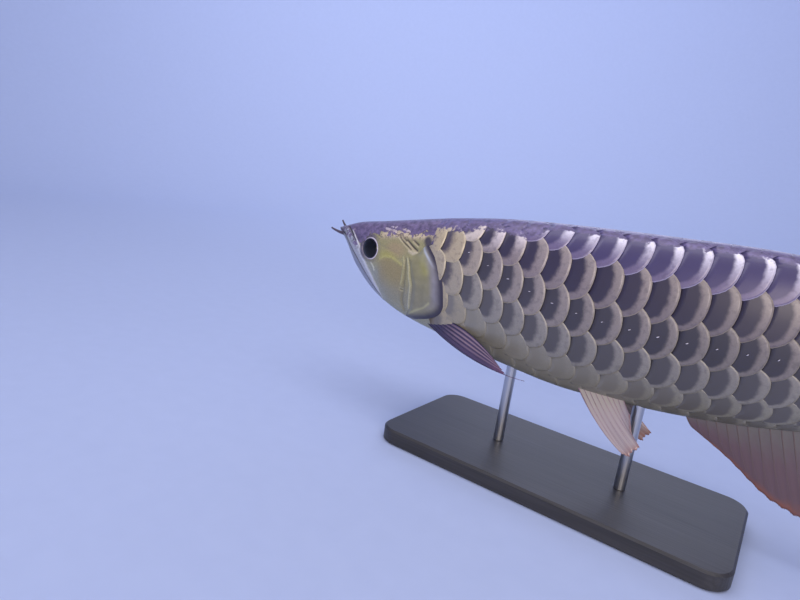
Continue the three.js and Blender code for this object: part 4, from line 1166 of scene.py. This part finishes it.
tree, start, end = new_nodes(
    "pores", {"Length": "NodeSocketFloat", "Lip": "NodeSocketFloat", "Finish": "NodeSocketMaterial"}
)
ring = add_node(
    tree, "GeometryNodeCurvePrimitiveCircle", {"Resolution": 12, "Radius": start.outputs["Length"]}
)
lip = add_node(
    tree, "GeometryNodeCurvePrimitiveCircle", {"Resolution": 6, "Radius": start.outputs["Lip"]}
)
tube = add_node(tree, "GeometryNodeCurveToMesh", {"Curve": ring, "Profile Curve": lip})
bead = add_node(
    tree, "GeometryNodeMeshIcoSphere", {"Radius": start.outputs["Length"], "Subdivisions": 2}
)
low_bead = add_node(tree, "GeometryNodeTransform", {"Geometry": bead, "Scale": (0.85, 0.85, 0.2)})
pair = add_node(tree, "GeometryNodeJoinGeometry")
tree.links.new(tube.outputs[0], pair.inputs[0])
tree.links.new(low_bead.outputs[0], pair.inputs[0])
slim = add_node(tree, "GeometryNodeTransform", {"Geometry": pair, "Scale": (0.62, 1.0, 1.0)})
facing = add_node(
    tree, "GeometryNodeInputNamedAttribute", {"Name": "out"}, data_type="FLOAT_VECTOR"
)
turned = add_node(
    tree, "FunctionNodeAlignRotationToVector", {"Vector": facing}, axis="Z", pivot_axis="Y"
)
spread = add_node(tree, "FunctionNodeRandomValue", {2: 0.75, 3: 1.15, "Seed": 4}, data_type="FLOAT")
spots = add_node(
    tree, "GeometryNodeInstanceOnPoints",
    {"Points": start.outputs[0], "Instance": slim, "Rotation": turned, "Scale": spread},
)
closed_tree(tree, spots.outputs[0], start.outputs["Finish"], end)
pore_tree = tree

# Pale pore skin: damp and almost white, so each pore shows as a small bright dot.
pore_skin, tree, output = new_material("pale pore skin")
place = add_node(tree, "ShaderNodeTexCoord").outputs["Object"]
cloud = add_node(tree, "ShaderNodeTexNoise", {"Vector": place, "Scale": 1500.0, "Detail": 2.0})
tone = add_node(tree, "ShaderNodeMix", {0: cloud, 6: "#9A97A6", 7: "#D5D3DF"}, data_type="RGBA")
shade = add_node(
    tree, "ShaderNodeBsdfPrincipled",
    {"Base Color": tone, "Roughness": 0.25, "Coat Weight": 0.5, "Coat Roughness": 0.1},
)
tree.links.new(shade.outputs[0], output.inputs[0])

for name, side in SIDES.items():
    shift = np.arange(1, COLUMNS) + PORE_PLACE[0]
    x = column_x(shift)
    x = x[(x > PORES_FROM) & (x < PORES_TO)]
    turn = side * row_turn(LATERAL_ROW + PORE_PLACE[1], x)
    spots = skin_point(x, turn, PORE_LIFT_MM + SCALE_LIFT_MM * (1 + PORE_PLACE[0] / SCALE_ROOT))
    outward = skin_point(x, turn, 2.0) - skin_point(x, turn, 1.0)
    holder = new_mesh(f"pore_places_{name}", spots, [])
    layer = holder.data.attributes.new("out", "FLOAT_VECTOR", "POINT")
    layer.data.foreach_set("vector", outward.ravel() * 1000)
    values = {"Length": PORE_LENGTH, "Lip": PORE_LIP, "Finish": pore_skin}
    pores = grown(holder, pore_tree, values, f"pores_{name}")
    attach(pores, "root")


# The eyes: large, flattened glossy balls, nearly all pupil, with a thin dark iris that ends in a
# silver line under the rim of skin. Each sits deep in its socket.
PUPIL_MM = 8.2
IRIS_MM = 8.7
EYE_RINGS, EYE_AROUND = 26, 56

# Clear cornea over a black pupil: very smooth and wet, so it mirrors the light as one small patch.
wet_eye, tree, output = new_material("wet cornea")
from_axis = add_node(tree, "ShaderNodeAttribute", attribute_name="from_axis").outputs["Fac"]
place = add_node(tree, "ShaderNodeTexCoord").outputs["Object"]
streak = add_node(tree, "ShaderNodeTexNoise", {"Vector": place, "Scale": 700.0, "Detail": 2.0})
iris = add_node(tree, "ShaderNodeMix", {0: streak, 6: "#2A2536", 7: "#4C4560"}, data_type="RGBA")
past_pupil = add_node(
    tree, "ShaderNodeMapRange",
    {"Value": from_axis, "From Min": PUPIL_MM - 0.25, "From Max": PUPIL_MM + 0.15},
    interpolation_type="SMOOTHSTEP",
)
dark = add_node(tree, "ShaderNodeMix", {0: past_pupil, 6: "#0A0A0F", 7: iris}, data_type="RGBA")
past_iris = add_node(
    tree, "ShaderNodeMapRange",
    {"Value": from_axis, "From Min": IRIS_MM - 0.15, "From Max": IRIS_MM + 0.1},
    interpolation_type="SMOOTHSTEP",
)
eye_tone = add_node(tree, "ShaderNodeMix", {0: past_iris, 6: dark, 7: "#C9C6D8"}, data_type="RGBA")
shade = add_node(
    tree, "ShaderNodeBsdfPrincipled", {"Base Color": eye_tone, "Roughness": 0.06, "IOR": 1.376}
)
tree.links.new(shade.outputs[0], output.inputs[0])

for name, side in SIDES.items():
    seat, outside = (flank_point(EYE["x"], EYE["z"], side, lift) for lift in (-EYE["sunk"], 1.0))
    out = (outside - seat) / np.linalg.norm(outside - seat)
    ahead = np.cross(out, [0, 0, 1])
    ahead /= np.linalg.norm(ahead)
    over = np.cross(ahead, out)
    polar = np.linspace(0, np.pi, EYE_RINGS + 1)[1:-1, None]
    round_it = 2 * np.pi * np.arange(EYE_AROUND) / EYE_AROUND
    radius = EYE["radius"] / 1000
    from_axis = radius * np.sin(polar)
    ball = (
        seat
        + (from_axis * np.cos(round_it))[..., None] * ahead
        + (from_axis * np.sin(round_it))[..., None] * over
        + (radius * EYE["bulge"] * np.cos(polar) * np.ones(EYE_AROUND))[..., None] * out
    )
    poles = seat + np.array([[1.0], [-1.0]]) * radius * EYE["bulge"] * out
    eye_points = np.concatenate([poles, ball.reshape(-1, 3)])
    eye_faces = []
    last_ring = 2 + (EYE_RINGS - 2) * EYE_AROUND
    for j in range(EYE_AROUND):
        k = (j + 1) % EYE_AROUND
        eye_faces.append((0, 2 + j, 2 + k))
        eye_faces.append((1, last_ring + k, last_ring + j))
        for i in range(EYE_RINGS - 2):
            a = 2 + i * EYE_AROUND
            eye_faces.append((a + j, a + EYE_AROUND + j, a + EYE_AROUND + k, a + k))
    eye = new_mesh(f"eyeball_{name}", eye_points, eye_faces, [wet_eye])
    spread = np.concatenate([[0, 0], (from_axis * np.ones(EYE_AROUND)).ravel()]) * 1000
    give_number(eye.data, "from_axis", spread)
    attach(eye, "root")
    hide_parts(f"eye_{name}")


# The barbels: two short, dark, tapered feelers of soft skin that curve up and forward from the
# chin. Each is swept along its line.
BARBEL_MM = {"root": 1.7, "tip": 0.75}
# The root's x, turn and depth in millimetres, then for each barbel the bend and the tip as shares
# of the body's length.
BARBEL_ROOT = (0.012, 0.62, -1.5)
BARBEL_LINES = {
    "left": [(-0.001, -0.014, -0.0085), (-0.0155, -0.017, -0.0026)],
    "right": [(-0.005, 0.011, -0.003), (-0.0185, 0.015, 0.0107)],
}
BARBEL_STEPS, BARBEL_SIDES = 18, 10

tree, start, end = new_nodes(
    "swept_lines",
    {"Thickness": "NodeSocketFloat", "Sides": "NodeSocketInt", "Finish": "NodeSocketMaterial"},
)
lines = add_node(tree, "GeometryNodeMeshToCurve", {"Mesh": start.outputs[0]})
taper = add_node(tree, "GeometryNodeInputNamedAttribute", {"Name": "taper"}, data_type="FLOAT")
thick = add_node(
    tree, "ShaderNodeMath", {0: taper, 1: start.outputs["Thickness"]}, operation="MULTIPLY"
)
outline = add_node(
    tree, "GeometryNodeCurvePrimitiveCircle", {"Resolution": start.outputs["Sides"], "Radius": 1.0}
)
swept = add_node(
    tree, "GeometryNodeCurveToMesh",
    {"Curve": lines, "Profile Curve": outline, "Scale": thick, "Fill Caps": True},
)
closed_tree(tree, swept.outputs[0], start.outputs["Finish"], end)
swept_tree = tree


def sweep(name, lines, tapers, thickness, sides, finish):
    """Rods swept along lines of points, each point with its share of the thickness."""
    holder = bpy.data.objects.new(f"{name}_lines", bpy.data.meshes.new(f"{name}_lines"))
    bpy.context.scene.collection.objects.link(holder)
    starts = np.concatenate([[0], np.cumsum([len(line) for line in lines])])
    edges = [(a, a + 1) for s, e in zip(starts, starts[1:]) for a in range(s, e - 1)]
    holder.data.from_pydata(np.concatenate(lines).tolist(), [tuple(map(int, e)) for e in edges], [])
    give_number(holder.data, "taper", np.concatenate(tapers))
    values = {"Thickness": thickness, "Sides": sides, "Finish": finish}
    return grown(holder, swept_tree, values, name)


# Soft feeler skin: dark violet-brown and finely wrinkled, with a damp gloss.
feeler_skin, tree, output = new_material("soft feeler skin")
place = add_node(tree, "ShaderNodeTexCoord").outputs["Object"]
cloud = add_node(tree, "ShaderNodeTexNoise", {"Vector": place, "Scale": 500.0, "Detail": 3.0})
tone = add_node(tree, "ShaderNodeMix", {0: cloud, 6: "#2B2532", 7: "#51465C"}, data_type="RGBA")
wrinkle = add_node(tree, "ShaderNodeBump", {"Height": cloud, "Strength": 0.4, "Distance": 0.0003})
shade = add_node(
    tree, "ShaderNodeBsdfPrincipled",
    {"Base Color": tone, "Roughness": 0.4, "Coat Weight": 0.3, "Normal": wrinkle},
)
tree.links.new(shade.outputs[0], output.inputs[0])

for name, side in SIDES.items():
    root = skin_point(BARBEL_ROOT[0], side * BARBEL_ROOT[1], BARBEL_ROOT[2])
    bend, point = (placed(*np.array(place)) for place in BARBEL_LINES[name])
    t = np.linspace(0, 1, BARBEL_STEPS)[:, None]
    line = root * (1 - t) ** 2 + 2 * bend * t * (1 - t) + point * t**2
    taper = 1 + (BARBEL_MM["tip"] / BARBEL_MM["root"] - 1) * t[:, 0]
    thick = BARBEL_MM["root"] / 1000
    feeler = sweep(f"feeler_{name}", [line], [taper], thick, BARBEL_SIDES, feeler_skin)
    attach(feeler, "root")
    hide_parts(f"barbel_{name}")


# The fins of the middle line, on the back, behind the vent and at the tail: jointed bony rays
# that branch towards the margin, with thin skin between them that is drawn in between the tips.
WEB_MM = 0.5
RAY_MM = 0.45
RAY_SIDES = 8
FIRST_RAY_BOLD = 1.35
GAP_STEPS, FIN_STEPS = 6, 22
# How far the skin is drawn in between the rays, as a share of its reach, how far a ray's branches
# spread, in gaps between rays, and how far along the reach they end.
DRAWN_IN = 0.028
FORK_SPREAD, LAST_FORK = 0.24, 0.2
RAY_REACH = 0.995
# How much thinner the skin grows at the margin and between rays, and a ray at its tip, and how
# thick a branch is next to its ray.
WEB_THINS, GAP_THINS, RAY_THINS, BRANCH_SHARE = 0.45, 0.35, 0.72, 0.85
FIN_SINK = 0.01
FIN_SWAY, TAIL_SWAY = 0.0022, 0.002
# Each fin's count of rays, where its root starts and ends, its margin as a ray's share of the way
# and its tip's x and z, and how far its first and last rays bow.
DORSAL = {
    "rays": 18,
    "root": [0.75, 0.905],
    "margin": [
        [0, 0.768, 0.097], [0.15, 0.805, 0.13], [0.35, 0.852, 0.147], [0.6, 0.905, 0.14],
        [0.85, 0.948, 0.114], [1, 0.956, 0.082],
    ],
    "bow": [0.004, 0.004],
}
ANAL = {
    "rays": 26,
    "root": [0.615, 0.9],
    "margin": [
        [0, 0.63, -0.158], [0.12, 0.672, -0.18], [0.3, 0.737, -0.219], [0.5, 0.802, -0.232],
        [0.72, 0.876, -0.221], [0.9, 0.942, -0.182], [1, 0.962, -0.13],
    ],
    "bow": [-0.004, -0.004],
}
CAUDAL = {"rays": 14, "root": 0.97, "centre": [0.95, -0.009], "reach": 0.22, "height": 0.087}
CAUDAL_SPREAD = 1.3
CAUDAL_INSET = 0.006


def sag(bow, a, b):
    """How far a ray bows at share b of its reach."""
    return (bow[0] + (bow[1] - bow[0]) * a) * 4 * b * (1 - b)


def middle_fin(table, skin_at, sink):
    """Where a ray's share a and reach b lie on a fin of the back or the belly."""
    x_at, z_at = smooth_curve(table["margin"], 1), smooth_curve(table["margin"], 2)

    def at(a, b):
        x = table["root"][0] + (table["root"][1] - table["root"][0]) * a
        z = skin_at(x) - sink
        sway = FIN_SWAY * b**2 * np.sin(5 * a + 0.6)
        far_z = z + (z_at(a) - z) * b + sag(table["bow"], a, b)
        return placed(x + (x_at(a) - x) * b, sway, far_z)

    return at


def tail_fin(a, b):
    """Where a ray's share a and reach b lie on the tail fin, a rounded fan."""
    angle = CAUDAL_SPREAD * (1 - 2 * a)
    top, bottom = float(top_at(1.0)) - CAUDAL_INSET, float(bottom_at(1.0)) + CAUDAL_INSET
    z = top + (bottom - top) * a
    x = CAUDAL["root"]
    far_x = CAUDAL["centre"][0] + CAUDAL["reach"] * np.cos(angle)
    far_z = CAUDAL["centre"][1] + CAUDAL["height"] * np.sin(angle)
    sway = TAIL_SWAY * b**2 * np.sin(4 * a + 1.5)
    return placed(x + (far_x - x) * b, sway, z + (far_z - z) * b)


def make_fin(name, at, rays, web_finish, ray_finish, stand_for, thick=1.0, split=0.45):
    """A fin's web and its rays, as two pieces, from where its shares of ray and reach lie."""
    across, down = (rays - 1) * GAP_STEPS, FIN_STEPS
    a, b = np.meshgrid(np.linspace(0, 1, across + 1), np.linspace(0, 1, down + 1), indexing="ij")
    between = np.abs(np.sin(np.pi * a * (rays - 1)))
    reach = b * (1 - DRAWN_IN * between * b**6)
    middle = at(a, reach)
    along = at(np.minimum(1, a + 0.01), reach) - at(np.maximum(0, a - 0.01), reach)
    outward = at(a, np.minimum(1, reach + 0.02)) - at(a, np.maximum(0, reach - 0.02))
    normal = np.cross(along, outward)
    normal /= np.maximum(np.linalg.norm(normal, axis=-1, keepdims=True), 1e-12)
    half = WEB_MM / 2000 * (1 - WEB_THINS * b) * (1 - GAP_THINS * between)
    skins = [(middle + way * normal * half[..., None]).reshape(-1, 3) for way in (1, -1)]
    count = a.size
    number = np.arange(count).reshape(a.shape)
    faces = []
    for i in range(across):
        for j in range(down):
            quad = [number[i, j], number[i + 1, j], number[i + 1, j + 1], number[i, j + 1]]
            faces += [quad, [v + count for v in quad[::-1]]]
    for p, q in round_border(number):
        faces.append([q, p, p + count, q + count])
    web = new_mesh(f"{name}_web", np.concatenate(skins), faces, [web_finish])
    give_number(web.data, "ray", np.tile(a.ravel() * (rays - 1), 2))
    give_number(web.data, "reach", np.tile(b.ravel(), 2))
    lines, tapers = [], []
    for i in range(rays):
        ends = [0.0] if i == 0 else [-FORK_SPREAD, FORK_SPREAD]
        if i == rays - 1:
            ends = [-LAST_FORK, 0.0]
        for way in ends:
            start, steps = (0.0, 26) if way == ends[0] else (split, 15)
            b = np.linspace(start, 1, steps)
            a = (i + way * soft_step(split, 1.0, b)) / (rays - 1)
            lines.append(at(np.clip(a, 0, 1), b * RAY_REACH))
            bold = FIRST_RAY_BOLD if i == 0 else 1.0
            tapers.append(bold * (1 - RAY_THINS * b) * np.where(b > split, BRANCH_SHARE, 1.0))
    bones = sweep(f"{name}_rays", lines, tapers, RAY_MM * thick / 1000, RAY_SIDES, ray_finish)
    for piece in (web, bones):
        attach(piece, "root")
        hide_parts(stand_for)
    return web, bones


def fin_web(name, root, middle, margin, gap, plain_to=-1.0, strength=0.35):
    """Thin fin skin, from its root's colour to its margin's, striped past its plain first rays."""
    made, tree, output = new_material(name)
    ray = add_node(tree, "ShaderNodeAttribute", attribute_name="ray").outputs["Fac"]
    reach = add_node(tree, "ShaderNodeAttribute", attribute_name="reach").outputs["Fac"]
    place = add_node(tree, "ShaderNodeTexCoord").outputs["Object"]
    cloud = add_node(tree, "ShaderNodeTexNoise", {"Vector": place, "Scale": 130.0, "Detail": 4.0})
    wander = add_node(
        tree, "ShaderNodeMath", {0: cloud, 1: 0.3, 2: reach}, operation="MULTIPLY_ADD"
    )
    outer = add_node(
        tree, "ShaderNodeMapRange",
        {"Value": wander, "From Min": 0.2, "From Max": 0.7}, interpolation_type="SMOOTHSTEP",
    )
    rim = add_node(
        tree, "ShaderNodeMapRange",
        {"Value": wander, "From Min": 0.95, "From Max": 1.17}, interpolation_type="SMOOTHSTEP",
    )
    inner_tone = add_node(tree, "ShaderNodeMix", {0: outer, 6: root, 7: middle}, data_type="RGBA")
    length_tone = add_node(
        tree, "ShaderNodeMix", {0: rim, 6: inner_tone, 7: margin}, data_type="RGBA"
    )
    turn = add_node(tree, "ShaderNodeMath", {0: ray, 1: 2 * math.pi}, operation="MULTIPLY")
    wave = add_node(tree, "ShaderNodeMath", {0: turn}, operation="COSINE")
    gap_mask = add_node(
        tree, "ShaderNodeMapRange",
        {"Value": wave, "From Min": 0.2, "From Max": -0.9, "To Max": strength},
    )
    striped = add_node(
        tree, "ShaderNodeMapRange", {"Value": ray, "From Min": plain_to, "From Max": plain_to + 1.0}
    )
    gap_share = add_node(tree, "ShaderNodeMath", {0: gap_mask, 1: striped}, operation="MULTIPLY")
    gap_part = add_node(tree, "ShaderNodeMath", {0: gap_share, 1: outer}, operation="MULTIPLY")
    tone = add_node(tree, "ShaderNodeMix", {0: gap_part, 6: length_tone, 7: gap}, data_type="RGBA")
    shade = add_node(
        tree, "ShaderNodeBsdfPrincipled",
        {"Base Color": tone, "Roughness": 0.42, "Coat Weight": 0.3},
    )
    tree.links.new(shade.outputs[0], output.inputs[0])
    return made


def ray_bone(name, dark, light):
    """Ray bone under thin skin: marks about a millimetre across, for its joints, and a gloss."""
    made, tree, output = new_material(name)
    place = add_node(tree, "ShaderNodeTexCoord").outputs["Object"]
    cloud = add_node(tree, "ShaderNodeTexNoise", {"Vector": place, "Scale": 900.0, "Detail": 2.0})
    slow = add_node(tree, "ShaderNodeTexNoise", {"Vector": place, "Scale": 60.0, "Detail": 2.0})
    both = add_node(tree, "ShaderNodeMath", {0: cloud, 1: 0.6, 2: slow}, operation="MULTIPLY_ADD")
    share = add_node(tree, "ShaderNodeMapRange", {"Value": both, "From Min": 0.6, "From Max": 1.0})
    tone = add_node(tree, "ShaderNodeMix", {0: share, 6: dark, 7: light}, data_type="RGBA")
    joints = add_node(
        tree, "ShaderNodeBump", {"Height": cloud, "Strength": 0.4, "Distance": 0.0002}
    )
    shade = add_node(
        tree, "ShaderNodeBsdfPrincipled", {"Base Color": tone, "Roughness": 0.4, "Normal": joints}
    )
    tree.links.new(shade.outputs[0], output.inputs[0])
    return made


# Thin dusky skin that reddens at the margin, over browner bone, so the rays show as fine lines.
dusky_web = fin_web("dusky fin skin", "#5A5654", "#544048", "#784838", "#5C474C")
dusky_bone = ray_bone("dusky fin ray", "#544646", "#5C4C4C")
make_fin(
    "dorsal_fin", middle_fin(DORSAL, top_at, FIN_SINK), DORSAL["rays"], dusky_web, dusky_bone,
    "dorsal_fin",
)
make_fin(
    "anal_fin", middle_fin(ANAL, bottom_at, -FIN_SINK), ANAL["rays"], dusky_web, dusky_bone,
    "anal_fin",
)
make_fin(
    "tail_fin", tail_fin, CAUDAL["rays"], dusky_web, dusky_bone, "caudal_fin", 1.15, 0.3
)


# The paired fins: long, dark, swept-back breast fins that end in a thread, and pale belly fins
# with reddish leading rays. Both are rooted in the flank and lie out and back from it.
PECTORAL = {
    "rays": 7,
    "root": [[0.205, -0.12], [0.239, -0.1095]],
    "margin": [
        [0, 0.418, -0.148, 0.066], [0.15, 0.394, -0.1495, 0.064], [0.5, 0.38, -0.144, 0.061],
        [1, 0.366, -0.136, 0.058],
    ],
    "bow": [-0.0155, 0.011],
}
PELVIC = {
    "rays": 9,
    "root": [[0.474, -0.145], [0.538, -0.146]],
    "margin": [
        [0, 0.561, -0.211, 0.038], [0.2, 0.569, -0.2115, 0.038], [0.4, 0.572, -0.203, 0.037],
        [0.6, 0.5785, -0.1955, 0.035], [0.8, 0.565, -0.182, 0.031], [1, 0.556, -0.16, 0.025],
    ],
    "bow": [-0.009, -0.002],
}


def paired_fin(table, side):
    """Where a ray's share a and reach b lie on a fin of one flank."""
    x_at, z_at, y_at = (smooth_curve(table["margin"], column) for column in (1, 2, 3))
    (x0, z0), (x1, z1) = table["root"]

    def at(a, b):
        root = flank_point(x0 + (x1 - x0) * a, z0 + (z1 - z0) * a, side, -3)
        far = placed(x_at(a), side * y_at(a), z_at(a))
        point = root + (far - root) * b[..., None]
        point[..., 2] += sag(table["bow"], a, b) * LENGTH
        return point

    return at


# Dark violet skin striped pale between darker rays on the breast fins, and pale skin with pinkish
# bone on the belly fins, so each ray catches the light.
violet_web = fin_web("dark violet fin skin", "#302A48", "#4C3A58", "#6A4662", "#9A8288", 2.0, 0.8)
violet_bone = ray_bone("dark violet fin ray", "#1F1830", "#33274A")
pale_web = fin_web("pale fin skin", "#9C958C", "#9B9093", "#8E6A66", "#AEA29C")
pale_bone = ray_bone("pale fin ray", "#75616C", "#988088")
for name, side in SIDES.items():
    make_fin(
        f"breast_fin_{name}", paired_fin(PECTORAL, side), PECTORAL["rays"], violet_web, violet_bone,
        f"pectoral_fin_{name}", 1.1, 0.6,
    )
    make_fin(
        f"belly_fin_{name}", paired_fin(PELVIC, side), PELVIC["rays"], pale_web, pale_bone,
        f"pelvic_fin_{name}", 0.9, 0.4,
    )


# The stand: a flat base of black-stained oak with rounded corners, and two short steel rods let
# into it, cut to the belly that they carry.

# Black-stained oak: dark, satin, with the grain's long pores along the base, a few tenths of a
# millimetre wide, drawn here a little coarser so that they show.
stained_oak, tree, output = new_material("black-stained oak")
place = add_node(tree, "ShaderNodeTexCoord").outputs["Object"]
stretched = add_node(tree, "ShaderNodeMapping", {"Vector": place, "Scale": (6.0, 220.0, 220.0)})
pore = add_node(tree, "ShaderNodeTexNoise", {"Vector": stretched, "Scale": 3.0, "Detail": 6.0})
figure = add_node(tree, "ShaderNodeMapping", {"Vector": place, "Scale": (2.0, 24.0, 24.0)})
cathedral = add_node(
    tree, "ShaderNodeTexNoise", {"Vector": figure, "Scale": 2.0, "Distortion": 0.6}
)
stain = add_node(
    tree, "ShaderNodeMix", {0: cathedral, 6: "#1E1D20", 7: "#3B3A3D"}, data_type="RGBA"
)
pore_share = add_node(
    tree, "ShaderNodeMapRange",
    {"Value": pore, "From Min": 0.35, "From Max": 0.65, "To Min": 0.7, "To Max": 1.1},
)
oak_tone = add_node(
    tree, "ShaderNodeMix",
    {0: 1.0, 6: stain, 7: pore_share}, data_type="RGBA", blend_type="MULTIPLY",
)
grain = add_node(tree, "ShaderNodeBump", {"Height": pore, "Strength": 0.25, "Distance": 0.0003})
shade = add_node(
    tree, "ShaderNodeBsdfPrincipled", {"Base Color": oak_tone, "Roughness": 0.45, "Normal": grain}
)
tree.links.new(shade.outputs[0], output.inputs[0])

# Brushed steel: bright grey, with fine turning marks round each rod that spread its highlight.
brushed_steel, tree, output = new_material("brushed steel")
place = add_node(tree, "ShaderNodeTexCoord").outputs["Object"]
stretched = add_node(tree, "ShaderNodeMapping", {"Vector": place, "Scale": (30.0, 30.0, 2500.0)})
marks = add_node(tree, "ShaderNodeTexNoise", {"Vector": stretched, "Scale": 1.0, "Detail": 3.0})
rough = add_node(tree, "ShaderNodeMapRange", {"Value": marks, "To Min": 0.22, "To Max": 0.4})
turning = add_node(tree, "ShaderNodeBump", {"Height": marks, "Strength": 0.15, "Distance": 0.0001})
shade = add_node(
    tree, "ShaderNodeBsdfPrincipled",
    {"Base Color": "#B9BBC0", "Metallic": 1.0, "Roughness": rough, "Normal": turning},
)
tree.links.new(shade.outputs[0], output.inputs[0])

for name, finish in {
    "stand_base": stained_oak,
    "stand_rod_front": brushed_steel,
    "stand_rod_rear": brushed_steel,
}.items():
    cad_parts[name].material_slots[0].material = finish
